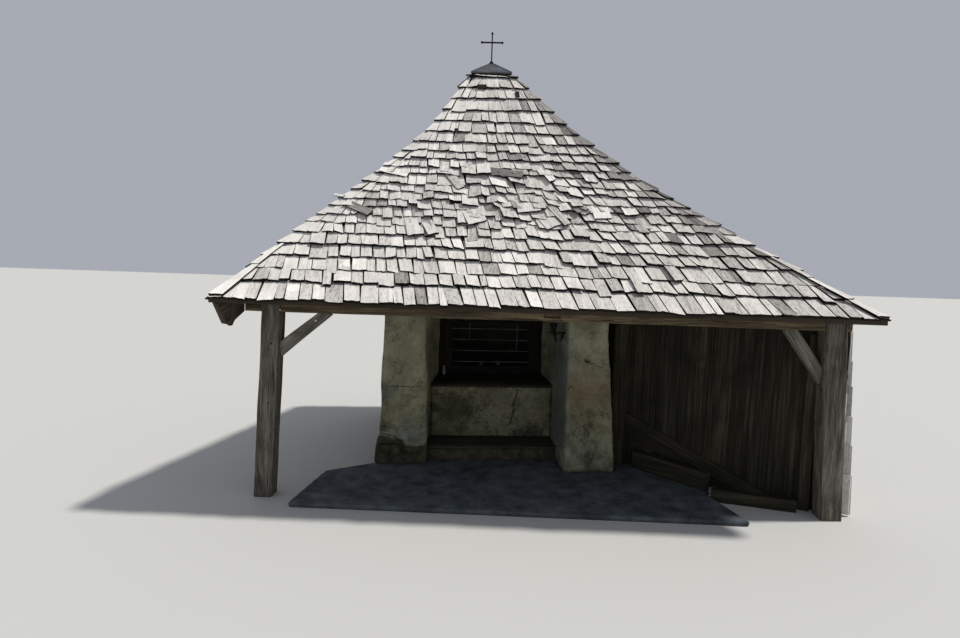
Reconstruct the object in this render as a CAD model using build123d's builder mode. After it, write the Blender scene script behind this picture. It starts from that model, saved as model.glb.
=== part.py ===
from build123d import *
from math import atan2, cos, degrees, hypot, sin, tan, radians
import os

# Small wayside chapel: a rendered masonry niche under a shingled tent roof that runs
# forward over an open porch. Millimetres, +Z up, front towards -Y. The origin is on
# the ground, midway between the fronts of the two piers.

# Porch floor and common heights
floor_thickness = 50.0
floor_front = -1350.0
floor_left_front = -1980.0
floor_left_rear = (-1870.0, -370.0)
floor_right_front = 2480.0
beam_underside = 1880.0
beam_height = 170.0
beam_width = 160.0
beam_front = -1120.0
beam_left_end = -2480.0
beam_right_end = 3400.0
beam_notch_place = 450.0
beam_notch_length = 160.0
beam_notch_height = 42.0
beam_notch_rise = 33.0
beam_notch_depth = 30.0
seat_gap = 0.3
bed_gap = 1.5

# Masonry body, drawn in its own plan that is turned against the porch
chapel_turn = 7.0
masonry_half_width = 1300.0
masonry_length = 2850.0
wall_thickness = 450.0
pier_depth_end = 560.0
left_pier_front = 150.0
left_pier_outer = -1330.0
left_pier_inner = -765.0
left_pier_batter = 42.0
footing_height = 270.0
footing_margin = 35.0
right_pier_front = -170.0
right_pier_outer = 1420.0
right_pier_inner = 815.0
right_pier_batter = 150.0
right_pier_front_batter = 55.0

# Niche, window and kneeler
niche_back = 720.0
niche_left = -725.0
niche_right = 830.0
window_plane = 1170.0
window_left = -615.0
window_right = 760.0
window_cheek_depth = 80.0
parapet_top = 850.0
sill_front_height = 35.0
sill_back_height = 105.0
sill_nosing = 30.0
ledge_depth = 330.0
lintel_underside = 1700.0
frame_depth = 70.0
frame_face = 85.0
frame_stile = 170.0
step_front = 270.0
step_height = 130.0
plank_thickness = 35.0
plank_nosing = 22.0
joint_gap = 2.0

# Timber posts and knee braces
left_post_size = 180.0
left_post_foot = -2308.0
left_post_head = -2217.0
right_post_size = 200.0
right_post_foot = 3356.0
right_post_head = 3253.0
brace_width = 95.0
brace_thickness = 80.0
left_brace_rise = 440.0
left_brace_reach = 480.0
right_brace_rise = 530.0
right_brace_reach = 345.0
right_brace_width = 80.0
rear_post_size = 140.0
rear_post_place = (1500.0, 330.0)

# Oblique side wall between the rear post and the right post
board_thickness = 25.0
rail_height = 60.0
boards_top = beam_underside - rail_height
boards_bottom = 55.0
boards_start = -300.0
boards_run = 2360.0
stud_place = boards_run - 350.0
stud_width = 110.0
diagonal_width = 240.0
diagonal_thickness = 30.0
diagonal_head = 675.0
diagonal_slope = 20.0
batten_thickness = 25.0
batten_height = 50.0
cladding_courses = 6
cladding_overhang = 150.0
cladding_top = beam_underside - 20.0
cladding_bottom = 60.0
cladding_head = 12.0
cladding_butt = 42.0
cladding_lap = 30.0
kick_start = (1655.0, 178.0)
kick_end = (2279.0, -578.0)
kick_thickness = 90.0
kick_height = 200.0
threshold_start = (2330.0, -640.0)
threshold_end = (3115.0, -860.0)
threshold_width = 90.0
threshold_height = 70.0

# Roof: heights of the courses where the slopes change, and how far each hip stands
# from the peak there
eave_rise = 140.0
eave_height = beam_underside + eave_rise
eave_board = 45.0
kick_rise = 280.0
knee_rise = 780.0
lower_rise = 1330.0
upper_rise = 1930.0
crown_rise = 2480.0
peak_rise = 2845.0
kick_pitch = 31.0
knee_pitch = 42.0
main_pitch = 51.2
roof_front = -1430.0
peak_x = -190.0
left_reach = (2510.0, 2310.0, 1840.0, 1240.0, 700.0, 415.0, 240.0)
right_reach = (3730.0, 3360.0, 2610.0, 1745.0, 1055.0, 565.0, 250.0)
rear_overhang = 270.0
rear_left_corner = (-masonry_half_width - rear_overhang, masonry_length + rear_overhang)
rear_right_corner = (masonry_half_width + rear_overhang + 180.0, masonry_length + rear_overhang)
rear_crown_share = 0.12
roof_inset = 110.0
plate_inset = 270.0
rafter_width = 80.0
rafter_depth = 175.0
front_rafter_count = 6
side_rafter_count = 3
ceiling_thickness = 25.0
ceiling_bearing = 200.0
hip_size = 110.0
hip_tail_drop = 270.0
hip_tail_size = 30.0

# Metal cap with ball and cross
cap_margin = 22.0
cap_skirt = 14.0
cap_height = 160.0
cap_tip = 26.0
ball_radius = 26.0
cross_height = 420.0
cross_bar = 16.0
cross_arm_height = 290.0
cross_span = 270.0
cross_end = 30.0

# Wall lamp on the right pier
lamp_height = 1630.0
lamp_depth = 60.0
lamp_reach = 215.0
lamp_bar = 12.0
cone_place = 141.0
cone_height = 95.0
cone_radius = 48.0
cone_foot_radius = 16.0
cone_wall = 3.0
jar_place = 78.0
jar_height = 95.0
jar_radius = 67.0
jar_foot_radius = 45.0
jar_wall = 5.0

ground = Plane.XY
chapel = Plane.XY.rotated((0, 0, chapel_turn))
chapel_depth = Axis((0, 0, 0), (chapel.y_dir.X, chapel.y_dir.Y, 0))
wall_top = beam_underside
timber_top = beam_underside + beam_height
os.makedirs("parts", exist_ok=True)


def save(piece, name):
    """Label a finished piece and write it under its node name."""
    piece.part.label = name
    export_step(piece.part, f"parts/{name}.step")


def chapel_point(across, along):
    """A plan point of the masonry, given in the plan of the porch."""
    place = chapel.from_local_coords(Vector(across, along, 0))
    return (place.X, place.Y)


def crossing(first, second):
    """Where two plan lines meet, each given as a start and a direction."""
    (px, py), (dx, dy) = first
    (qx, qy), (ex, ey) = second
    reach = ((qx - px) * ey - (qy - py) * ex) / (dx * ey - dy * ex)
    return (px + dx * reach, py + dy * reach)


def inward_line(start, end, inset):
    """The line beside start to end, moved by inset to its left."""
    length = hypot(end[0] - start[0], end[1] - start[1])
    dx = (end[0] - start[0]) / length
    dy = (end[1] - start[1]) / length
    return ((start[0] - dy * inset, start[1] + dx * inset), (dx, dy))


def inset_outline(corners, inset):
    """The outline inside a closed outline whose corners run anticlockwise."""
    count = len(corners)
    lines = [inward_line(corners[i], corners[(i + 1) % count], inset) for i in range(count)]
    return [crossing(lines[i - 1], lines[i]) for i in range(count)]


def along(start, end, share):
    """The point a share of the way from start to end."""
    return (start[0] + (end[0] - start[0]) * share, start[1] + (end[1] - start[1]) * share)


# Left pier: battered on both sides, standing on a rough stone footing
with BuildPart() as left_pier:
    with BuildSketch(chapel.offset(footing_height)):
        Polygon((left_pier_outer, left_pier_front), (left_pier_inner, left_pier_front),
                (left_pier_inner, pier_depth_end), (left_pier_outer, pier_depth_end))
    with BuildSketch(chapel.offset(wall_top)):
        Polygon((left_pier_outer + left_pier_batter, left_pier_front),
                (left_pier_inner - left_pier_batter, left_pier_front),
                (left_pier_inner - left_pier_batter, pier_depth_end),
                (left_pier_outer + left_pier_batter, pier_depth_end))
    loft(ruled=True)
save(left_pier, "left_pier")

with BuildPart() as left_pier_footing:
    with BuildSketch(chapel):
        Polygon((left_pier_outer - footing_margin, left_pier_front - footing_margin),
                (left_pier_inner, left_pier_front - footing_margin),
                (left_pier_inner, pier_depth_end),
                (left_pier_outer - footing_margin, pier_depth_end))
    extrude(amount=footing_height)
    footing_edges = left_pier_footing.faces().sort_by(Axis.Z)[-1].edges()
    chamfer(footing_edges.sort_by(chapel_depth)[0], footing_margin / 2)
save(left_pier_footing, "left_pier_footing")

# Right pier: flares out towards its foot at the front and on the outer side
with BuildPart() as right_pier:
    with BuildSketch(chapel):
        Polygon((right_pier_inner, right_pier_front), (right_pier_outer, right_pier_front),
                (right_pier_outer, pier_depth_end), (right_pier_inner, pier_depth_end))
    with BuildSketch(chapel.offset(wall_top)):
        Polygon((right_pier_inner, right_pier_front + right_pier_front_batter),
                (right_pier_outer - right_pier_batter, right_pier_front + right_pier_front_batter),
                (right_pier_outer - right_pier_batter, pier_depth_end),
                (right_pier_inner, pier_depth_end))
    loft(ruled=True)
save(right_pier, "right_pier")

# Side walls with the splayed cheeks of the window
chamber_front = window_plane + window_cheek_depth
chamber_rear = masonry_length - wall_thickness
chamber_half_width = masonry_half_width - wall_thickness
with BuildPart() as left_side_wall:
    with BuildSketch(chapel):
        Polygon((-masonry_half_width, pier_depth_end), (left_pier_inner, pier_depth_end),
                (niche_left, niche_back), (window_left, window_plane),
                (window_left, chamber_front), (-chamber_half_width, chamber_front),
                (-chamber_half_width, chamber_rear), (-masonry_half_width, chamber_rear))
    extrude(amount=wall_top)
save(left_side_wall, "left_side_wall")

with BuildPart() as right_side_wall:
    with BuildSketch(chapel):
        Polygon((right_pier_inner, pier_depth_end), (masonry_half_width, pier_depth_end),
                (masonry_half_width, chamber_rear), (chamber_half_width, chamber_rear),
                (chamber_half_width, chamber_front), (window_right, chamber_front),
                (window_right, window_plane), (niche_right, niche_back))
    extrude(amount=wall_top)
save(right_side_wall, "right_side_wall")

with BuildPart() as rear_wall:
    with BuildSketch(chapel):
        Polygon((-masonry_half_width, chamber_rear), (masonry_half_width, chamber_rear),
                (masonry_half_width, masonry_length), (-masonry_half_width, masonry_length))
    extrude(amount=wall_top)
save(rear_wall, "rear_wall")

# Parapet under the window, with a ledge behind the window at the height of the sill's back
with BuildPart() as parapet_wall:
    with BuildSketch(chapel):
        Polygon((niche_left, niche_back), (niche_right, niche_back),
                (window_right, window_plane), (window_left, window_plane))
    extrude(amount=parapet_top)
    with BuildSketch(chapel):
        Polygon((window_left, window_plane), (window_right, window_plane),
                (window_right, chamber_front), (window_left, chamber_front))
        Polygon((-chamber_half_width, chamber_front), (chamber_half_width, chamber_front),
                (chamber_half_width, window_plane + ledge_depth),
                (-chamber_half_width, window_plane + ledge_depth))
    extrude(amount=parapet_top + sill_back_height)
save(parapet_wall, "parapet_wall")

with BuildPart() as window_lintel:
    with BuildSketch(chapel.offset(lintel_underside)):
        Polygon((niche_left, niche_back), (niche_right, niche_back),
                (window_right, window_plane), (window_right, chamber_front),
                (window_left, chamber_front), (window_left, window_plane))
    extrude(amount=wall_top - lintel_underside)
save(window_lintel, "window_lintel")

# Sloping timber sill between the splayed cheeks
splay_left = (window_left - niche_left) / (window_plane - niche_back)
splay_right = (niche_right - window_right) / (window_plane - niche_back)
sill_depth = window_plane - niche_back
with BuildPart() as window_sill:
    with BuildSketch(chapel.offset(parapet_top)):
        Polygon((niche_left + joint_gap, niche_back - sill_nosing),
                (right_pier_inner - joint_gap, niche_back - sill_nosing),
                (niche_right - joint_gap, niche_back),
                (window_right - joint_gap, window_plane), (window_left + joint_gap, window_plane),
                (niche_left + joint_gap, niche_back))
    extrude(amount=sill_back_height)
    sill_side = Plane(chapel.from_local_coords(Vector(niche_left, niche_back - sill_nosing, parapet_top)),
                      x_dir=chapel.y_dir, z_dir=chapel.x_dir)
    with BuildSketch(sill_side):
        Polygon((0, sill_front_height), (sill_nosing + sill_depth, sill_back_height),
                (sill_nosing + sill_depth, sill_back_height * 2), (0, sill_back_height * 2))
    extrude(amount=niche_right - niche_left, mode=Mode.SUBTRACT)
save(window_sill, "window_sill")

# Window frame of four timbers round the opening
frame_bottom = parapet_top + sill_back_height
frame_front = Plane(chapel.from_local_coords(Vector(0, window_plane, 0)),
                    x_dir=chapel.x_dir, z_dir=-chapel.y_dir)
with BuildPart() as window_frame:
    with BuildSketch(frame_front):
        Polygon((window_left + joint_gap, frame_bottom), (window_right - joint_gap, frame_bottom),
                (window_right - joint_gap, lintel_underside - seat_gap),
                (window_left + joint_gap, lintel_underside - seat_gap))
        Polygon((window_left + frame_stile, frame_bottom + frame_face),
                (window_right - frame_stile, frame_bottom + frame_face),
                (window_right - frame_stile, lintel_underside - frame_face),
                (window_left + frame_stile, lintel_underside - frame_face), mode=Mode.SUBTRACT)
    extrude(amount=-frame_depth)
save(window_frame, "window_frame")

# Kneeler: a low masonry step across the niche with a plank on top
step_top = floor_thickness + step_height
with BuildPart() as kneeler_step:
    with BuildSketch(chapel):
        Polygon((left_pier_inner + joint_gap, step_front), (right_pier_inner - joint_gap, step_front),
                (right_pier_inner - joint_gap, pier_depth_end), (niche_right - joint_gap, niche_back),
                (niche_left + joint_gap, niche_back), (left_pier_inner + joint_gap, pier_depth_end))
    extrude(amount=step_top)
save(kneeler_step, "kneeler_step")

with BuildPart() as kneeler_plank:
    with BuildSketch(chapel.offset(step_top)):
        Polygon((left_pier_inner + joint_gap, step_front - plank_nosing),
                (right_pier_inner - joint_gap, step_front - plank_nosing),
                (right_pier_inner - joint_gap, pier_depth_end), (niche_right - joint_gap, niche_back),
                (niche_left + joint_gap, niche_back), (left_pier_inner + joint_gap, pier_depth_end))
    extrude(amount=plank_thickness)
    plank_edges = kneeler_plank.faces().sort_by(Axis.Z)[-1].edges()
    chamfer(plank_edges.sort_by(chapel_depth)[0], plank_thickness / 5)
save(kneeler_plank, "kneeler_plank")

# Posts, splayed a little outwards at their feet
post_depth_centre = beam_front + left_post_size / 2
with BuildPart() as left_post:
    with BuildSketch(ground):
        with Locations((left_post_foot, post_depth_centre)):
            Rectangle(left_post_size, left_post_size)
    with BuildSketch(ground.offset(beam_underside)):
        with Locations((left_post_head, post_depth_centre)):
            Rectangle(left_post_size, left_post_size)
    loft(ruled=True)
save(left_post, "left_post")

right_depth_centre = beam_front + right_post_size / 2
with BuildPart() as right_post:
    with BuildSketch(ground):
        with Locations((right_post_foot, right_depth_centre)):
            Rectangle(right_post_size, right_post_size)
    with BuildSketch(ground.offset(beam_underside)):
        with Locations((right_post_head, right_depth_centre)):
            Rectangle(right_post_size, right_post_size)
    loft(ruled=True)
save(right_post, "right_post")

# Knee braces between each post and the beam, the right one at the back of its post
brace_plane = Plane((0, beam_front + (left_post_size - brace_thickness) / 2, 0),
                    x_dir=(1, 0, 0), z_dir=(0, -1, 0))
rear_brace_plane = Plane((0, beam_front + beam_width - brace_thickness, 0), x_dir=(1, 0, 0), z_dir=(0, -1, 0))
left_lean = (left_post_head - left_post_foot) / beam_underside
right_lean = (right_post_foot - right_post_head) / beam_underside


def left_post_face(height):
    """Where the inner face of the left post stands at a height."""
    return left_post_foot + left_lean * height + left_post_size / 2


def right_post_face(height):
    """Where the inner face of the right post stands at a height."""
    return right_post_foot - right_lean * height - right_post_size / 2


with BuildPart() as left_brace:
    with BuildSketch(brace_plane):
        lower = beam_underside - left_brace_rise
        upper = lower + brace_width * left_brace_rise / left_brace_reach + brace_width / 3
        inner_reach = left_brace_reach - brace_width * left_brace_reach / left_brace_rise
        Polygon((left_post_face(lower), lower),
                (left_post_face(beam_underside) + left_brace_reach, beam_underside),
                (left_post_face(beam_underside) + inner_reach, beam_underside),
                (left_post_face(upper), upper))
    extrude(amount=-brace_thickness)
save(left_brace, "left_brace")

with BuildPart() as right_brace:
    with BuildSketch(rear_brace_plane):
        slant = hypot(right_brace_rise, right_brace_reach)
        lower = beam_underside - right_brace_rise
        upper = lower + right_brace_width * slant / right_brace_reach
        inner_reach = right_brace_reach - right_brace_width * slant / right_brace_rise
        Polygon((right_post_face(lower), lower), (right_post_face(upper), upper),
                (right_post_face(beam_underside) - inner_reach, beam_underside),
                (right_post_face(beam_underside) - right_brace_reach, beam_underside))
    extrude(amount=-brace_thickness)
save(right_brace, "right_brace")

# Roof levels: the four corners of the roof at each height, anticlockwise from the front left
rises = (0.0, kick_rise, knee_rise, lower_rise, upper_rise, crown_rise, peak_rise)
pitches = (kick_pitch, knee_pitch, main_pitch, main_pitch, main_pitch, main_pitch)
fronts = [roof_front]
for lower_level, upper_level, pitch in zip(rises, rises[1:], pitches):
    fronts.append(fronts[-1] + (upper_level - lower_level) / tan(radians(pitch)))
rear_left = chapel_point(*rear_left_corner)
rear_right = chapel_point(*rear_right_corner)
peak_y = fronts[-1] + roof_inset + rafter_depth / 2
peak = (peak_x, peak_y)
levels = []
for rise, front, to_left, to_right in zip(rises, fronts, left_reach, right_reach):
    share = (1 - rise / peak_rise) * (1 - rear_crown_share) + rear_crown_share
    levels.append((eave_height + rise, [
        (peak_x - to_left, front), (peak_x + to_right, front),
        along(peak, rear_right, share), along(peak, rear_left, share)]))
eave_outline = levels[0][1]

# Plates near the side eaves and the beams across the masonry that carry them
beam_rear_line = ((0.0, beam_front + beam_width), (1.0, 0.0))
chapel_across = (chapel.x_dir.X, chapel.x_dir.Y)
rear_beam_front_line = (chapel_point(0, masonry_length - beam_width), chapel_across)
rear_beam_rear_line = (chapel_point(0, masonry_length), chapel_across)
left_eave = (eave_outline[3], eave_outline[0])
right_eave = (eave_outline[1], eave_outline[2])
plate_lines = {
    "left_plate": (inward_line(*left_eave, plate_inset), inward_line(*left_eave, plate_inset + beam_width)),
    "right_plate": (inward_line(*right_eave, plate_inset), inward_line(*right_eave, plate_inset + beam_width)),
}
timbers = []
for name, (outer_line, inner_line) in plate_lines.items():
    with BuildPart() as plate:
        with BuildSketch(ground.offset(beam_underside)):
            Polygon(crossing(outer_line, beam_rear_line), crossing(inner_line, beam_rear_line),
                    crossing(inner_line, rear_beam_front_line), crossing(outer_line, rear_beam_front_line))
        extrude(amount=beam_height)
    timbers.append(plate.part)
    save(plate, name)

middle_beam_front_line = (chapel_point(0, left_pier_front + left_post_size / 12), chapel_across)
middle_beam_rear_line = (chapel_point(0, left_pier_front + left_post_size / 12 + beam_width), chapel_across)
(left_outer_line, left_inner_line) = plate_lines["left_plate"]
(right_outer_line, right_inner_line) = plate_lines["right_plate"]
cross_beams = {
    "middle_beam": (middle_beam_front_line, middle_beam_rear_line, left_inner_line, right_inner_line),
    "rear_beam": (rear_beam_front_line, rear_beam_rear_line, left_outer_line, right_outer_line),
}
for name, (front_line, rear_line, left_line, right_line) in cross_beams.items():
    with BuildPart() as cross_beam:
        with BuildSketch(ground.offset(beam_underside)):
            Polygon(crossing(front_line, left_line), crossing(front_line, right_line),
                    crossing(rear_line, right_line), crossing(rear_line, left_line))
        extrude(amount=beam_height)
    timbers.append(cross_beam.part)
    save(cross_beam, name)

# Boarded ceiling over the masonry chamber, on the tops of its walls
with BuildPart() as chamber_ceiling:
    with BuildSketch(chapel.offset(wall_top)):
        Polygon((-chamber_half_width - ceiling_bearing, chamber_front - ceiling_bearing / 2),
                (chamber_half_width + ceiling_bearing, chamber_front - ceiling_bearing / 2),
                (chamber_half_width + ceiling_bearing, masonry_length - beam_width - bed_gap),
                (-chamber_half_width - ceiling_bearing, masonry_length - beam_width - bed_gap))
    extrude(amount=ceiling_thickness)
save(chamber_ceiling, "chamber_ceiling")

# Roof slopes: boarding and shingle bed with an eave board, one slab a side, mitred at the hips
roof_sides = ("front", "right", "rear", "left")
slab_levels = [(eave_height - eave_board, eave_outline)] + levels
slopes = []
for side, name in enumerate(roof_sides):
    following = (side + 1) % len(roof_sides)
    with BuildPart() as slope:
        for height, outline in slab_levels:
            inner = inset_outline(outline, roof_inset)
            with BuildSketch(ground.offset(height)):
                Polygon(outline[side], outline[following], inner[following], inner[side])
        loft(ruled=True)
    slopes.append(slope.part)
    save(slope, f"{name}_roof")

# Front beam on the posts, with an old notch, its ends cut to the slopes at the side eaves
with BuildPart() as front_beam:
    with BuildSketch(ground.offset(beam_underside)):
        Polygon((beam_left_end, beam_front), (beam_right_end, beam_front),
                (beam_right_end, beam_front + beam_width), (beam_left_end, beam_front + beam_width))
    extrude(amount=beam_height)
    with BuildSketch(ground.offset(beam_underside + beam_notch_rise)):
        with Locations((beam_notch_place, beam_front)):
            Rectangle(beam_notch_length, beam_notch_depth * 2, align=(Align.MIN, Align.CENTER))
    extrude(amount=beam_notch_height, mode=Mode.SUBTRACT)
    add(slopes, mode=Mode.SUBTRACT)
timbers.append(front_beam.part)
save(front_beam, "front_beam")

# Fanned rafters under each slope, notched over the beams and plates they cross
for side, name in enumerate(roof_sides):
    following = (side + 1) % len(roof_sides)
    count = front_rafter_count if name == "front" else side_rafter_count
    with BuildPart() as rafters:
        for place in range(count):
            share = (place + 1) / (count + 1)
            with BuildPart(mode=Mode.PRIVATE) as rafter:
                for height, outline in levels[:5]:
                    inner = inset_outline(outline, roof_inset + bed_gap)
                    seat = along(inner[side], inner[following], share)
                    line = inward_line(inner[side], inner[following], 0)[1]
                    inward = (-line[1], line[0])
                    half = rafter_width / 2
                    with BuildSketch(ground.offset(height)):
                        Polygon((seat[0] - line[0] * half, seat[1] - line[1] * half),
                                (seat[0] + line[0] * half, seat[1] + line[1] * half),
                                (seat[0] + line[0] * half + inward[0] * rafter_depth,
                                 seat[1] + line[1] * half + inward[1] * rafter_depth),
                                (seat[0] - line[0] * half + inward[0] * rafter_depth,
                                 seat[1] - line[1] * half + inward[1] * rafter_depth))
                loft(ruled=True)
            add(rafter.part)
        add(timbers, mode=Mode.SUBTRACT)
    save(rafters, f"{name}_rafters")


def hip_section(outline, corner, size):
    """The lozenge of a hip rafter in the inner corner of a roof outline."""
    inner = inset_outline(outline, roof_inset + bed_gap)
    here = inner[corner]
    (here, ahead) = inward_line(here, inner[corner + 1 - len(inner)], 0)
    (here, behind) = inward_line(here, inner[corner - 1], 0)
    first = (here[0] + ahead[0] * size, here[1] + ahead[1] * size)
    last = (here[0] + behind[0] * size, here[1] + behind[1] * size)
    far = (first[0] + behind[0] * size, first[1] + behind[1] * size)
    return [here, first, far, last]


# The hip rafter at the front left ends in a long tail under the eave
with BuildPart() as hip_rafters:
    for corner, name in enumerate(roof_sides):
        with BuildPart(mode=Mode.PRIVATE) as hip:
            if name == "front":
                with BuildSketch(ground.offset(eave_height - hip_tail_drop)):
                    Polygon(*hip_section(eave_outline, corner, hip_tail_size))
            for height, outline in levels[:6]:
                with BuildSketch(ground.offset(height)):
                    Polygon(*hip_section(outline, corner, hip_size))
            loft(ruled=True)
        add(hip.part)
    add(timbers, mode=Mode.SUBTRACT)
save(hip_rafters, "hip_rafters")

# Solid block in the peak, on the ends of the hip rafters, that carries the cap
with BuildPart() as peak_block:
    for height, outline in levels[5:]:
        with BuildSketch(ground.offset(height)):
            Polygon(*inset_outline(outline, roof_inset + bed_gap))
    loft(ruled=True)
save(peak_block, "peak_block")

# Metal cap: a short skirt and a four-sided pyramid
peak_height = eave_height + peak_rise
crown_outline = inset_outline(levels[-1][1], -cap_margin)
cap_centre = along(along(crown_outline[0], crown_outline[1], 0.5), along(crown_outline[2], crown_outline[3], 0.5), 0.5)
with BuildPart() as roof_cap:
    with BuildSketch(ground.offset(peak_height)):
        Polygon(*crown_outline)
    extrude(amount=cap_skirt)
    with BuildSketch(ground.offset(peak_height + cap_skirt)):
        Polygon(*crown_outline)
    with BuildSketch(ground.offset(peak_height + cap_height)):
        Polygon(*[along(cap_centre, corner, cap_tip / hypot(corner[0] - cap_centre[0], corner[1] - cap_centre[1]))
                  for corner in crown_outline])
    loft(ruled=True)
save(roof_cap, "roof_cap")

# Wrought cross on a ball, with flared ends
tip_height = peak_height + cap_height
with BuildPart() as roof_cross:
    with Locations((cap_centre[0], cap_centre[1], tip_height + ball_radius)):
        Sphere(ball_radius)
    with BuildSketch(ground.offset(tip_height)):
        with Locations(cap_centre):
            Rectangle(cross_bar, cross_bar)
    extrude(amount=cross_height - cross_end / 2)
    with Locations((cap_centre[0], cap_centre[1], tip_height + cross_arm_height)):
        Box(cross_span, cross_bar, cross_bar)
    with Locations((cap_centre[0] - cross_span / 2, cap_centre[1], tip_height + cross_arm_height),
                   (cap_centre[0] + cross_span / 2, cap_centre[1], tip_height + cross_arm_height)):
        Cylinder(cross_end / 2, cross_bar, rotation=(90, 0, 0))
    with Locations((cap_centre[0], cap_centre[1], tip_height + cross_height - cross_end / 2)):
        Cylinder(cross_end / 2, cross_bar, rotation=(90, 0, 0))
    split(bisect_by=ground.offset(tip_height), keep=Keep.TOP)
save(roof_cross, "roof_cross")

# Side wall: rear post, stud, vertical boards, leaning plank, battens and shingle courses
corner_x = right_post_head + right_post_size / 2 + (right_post_foot - right_post_head) / 4
corner_y = beam_front + right_post_size
run_x = corner_x - rear_post_place[0]
run_y = corner_y - rear_post_place[1]
side_wall_turn = degrees(atan2(run_y, run_x)) - degrees(atan2(rear_post_size / 2, hypot(run_x, run_y)))
side_wall = Plane((rear_post_place[0], rear_post_place[1], 0)).rotated((0, 0, side_wall_turn))
wall_side_face = Plane(side_wall.origin, x_dir=side_wall.x_dir, z_dir=-side_wall.y_dir)
board_face = rear_post_size / 2

with BuildPart() as rear_post:
    with BuildSketch(side_wall):
        Rectangle(rear_post_size, rear_post_size)
    extrude(amount=beam_underside)
    add(right_pier.part, mode=Mode.SUBTRACT)
save(rear_post, "rear_post")

with BuildPart() as side_wall_stud:
    with BuildSketch(side_wall):
        Polygon((stud_place, 0), (stud_place + stud_width, 0),
                (stud_place + stud_width, board_face), (stud_place, board_face))
    extrude(amount=boards_top)
    add(right_post.part, mode=Mode.SUBTRACT)
save(side_wall_stud, "side_wall_stud")

masonry_side = [right_pier.part, right_side_wall.part]
with BuildPart() as side_wall_boards:
    with BuildSketch(side_wall.offset(boards_bottom)):
        Polygon((boards_start, board_face), (boards_run, board_face),
                (boards_run, board_face + board_thickness),
                (boards_start, board_face + board_thickness))
    extrude(amount=boards_top - boards_bottom)
    add(masonry_side + [right_post.part], mode=Mode.SUBTRACT)
save(side_wall_boards, "side_wall_boards")

with BuildPart() as side_wall_rail:
    with BuildSketch(side_wall.offset(boards_top)):
        Polygon((rear_post_size / 2, 0), (boards_run, 0), (boards_run, board_face + board_thickness),
                (rear_post_size / 2, board_face + board_thickness))
    extrude(amount=rail_height)
    add(right_post.part, mode=Mode.SUBTRACT)
save(side_wall_rail, "side_wall_rail")

with BuildPart() as diagonal_plank:
    with BuildSketch(wall_side_face.offset(diagonal_thickness - board_face)):
        start = rear_post_size / 2 + joint_gap
        fall = tan(radians(diagonal_slope))
        depth = diagonal_width / cos(radians(diagonal_slope))
        Polygon((start, diagonal_head - depth), (start + (diagonal_head - depth) / fall, 0),
                (start + diagonal_head / fall, 0), (start, diagonal_head))
    extrude(amount=-diagonal_thickness)
    add(right_post.part, mode=Mode.SUBTRACT)
save(diagonal_plank, "diagonal_plank")

# The cladding runs on past the right post and ends parallel to the post's leaning outer face
course_height = (cladding_top - cladding_bottom) / cladding_courses
batten_face = board_face + board_thickness
cladding_face = batten_face + batten_thickness
cladding_length = boards_run - boards_start + 2 * cladding_overhang
wall_end = Plane(side_wall.origin, x_dir=side_wall.y_dir, z_dir=side_wall.x_dir).offset(boards_start)
cladding_end = Plane((right_post_foot + right_post_size / 2 + cladding_overhang, corner_y, 0),
                     x_dir=(0, 1, 0), z_dir=(1, 0, right_lean))
with BuildPart() as side_wall_battens:
    with BuildSketch(wall_end):
        for course in range(cladding_courses):
            with Locations((batten_face + batten_thickness / 2,
                            cladding_bottom + course_height * (course + 0.5))):
                Rectangle(batten_thickness, batten_height)
    extrude(amount=boards_run - boards_start)
    add(masonry_side + [right_post.part], mode=Mode.SUBTRACT)
save(side_wall_battens, "side_wall_battens")

with BuildPart() as side_wall_cladding:
    with BuildSketch(wall_end):
        for course in range(cladding_courses):
            foot = cladding_bottom + course_height * course
            head = foot + course_height
            Polygon((cladding_face, foot), (cladding_face + cladding_butt, foot),
                    (cladding_face + cladding_head, head), (cladding_face, head))
    extrude(amount=cladding_length)
    split(bisect_by=cladding_end, keep=Keep.BOTTOM)
    add(masonry_side + [right_post.part], mode=Mode.SUBTRACT)
save(side_wall_cladding, "side_wall_cladding")

# Loose timbers on the floor along the side wall
with BuildPart() as kick_beam:
    with BuildSketch(ground.offset(floor_thickness)):
        far_line = inward_line(kick_start, kick_end, kick_thickness)[0]
        shift = (far_line[0] - kick_start[0], far_line[1] - kick_start[1])
        Polygon(kick_start, kick_end, (kick_end[0] + shift[0], kick_end[1] + shift[1]), far_line)
    extrude(amount=kick_height)
save(kick_beam, "kick_beam")

with BuildPart() as threshold_board:
    with BuildSketch(ground):
        near_line = inward_line(threshold_start, threshold_end, -threshold_width)[0]
        shift = (near_line[0] - threshold_start[0], near_line[1] - threshold_start[1])
        Polygon(threshold_start, near_line,
                (threshold_end[0] + shift[0], threshold_end[1] + shift[1]), threshold_end)
    extrude(amount=threshold_height)
save(threshold_board, "threshold_board")

# Porch floor: cast slab cut round everything that stands on the ground
with BuildPart() as porch_floor:
    with BuildSketch(ground):
        Polygon((floor_left_front, floor_front), (floor_right_front, floor_front),
                (kick_end[0], kick_end[1]), (kick_end[0] + kick_thickness, kick_end[1] + kick_thickness / 2),
                (kick_start[0] + kick_thickness, kick_start[1] + kick_thickness),
                chapel_point(right_pier_outer, pier_depth_end), chapel_point(left_pier_outer, pier_depth_end),
                chapel_point(left_pier_outer - footing_margin, left_pier_front),
                floor_left_rear)
    extrude(amount=floor_thickness)
    add([left_pier_footing.part, right_pier.part, kneeler_step.part, rear_post.part, left_side_wall.part,
         right_side_wall.part, parapet_wall.part, diagonal_plank.part, threshold_board.part], mode=Mode.SUBTRACT)
save(porch_floor, "porch_floor")

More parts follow.
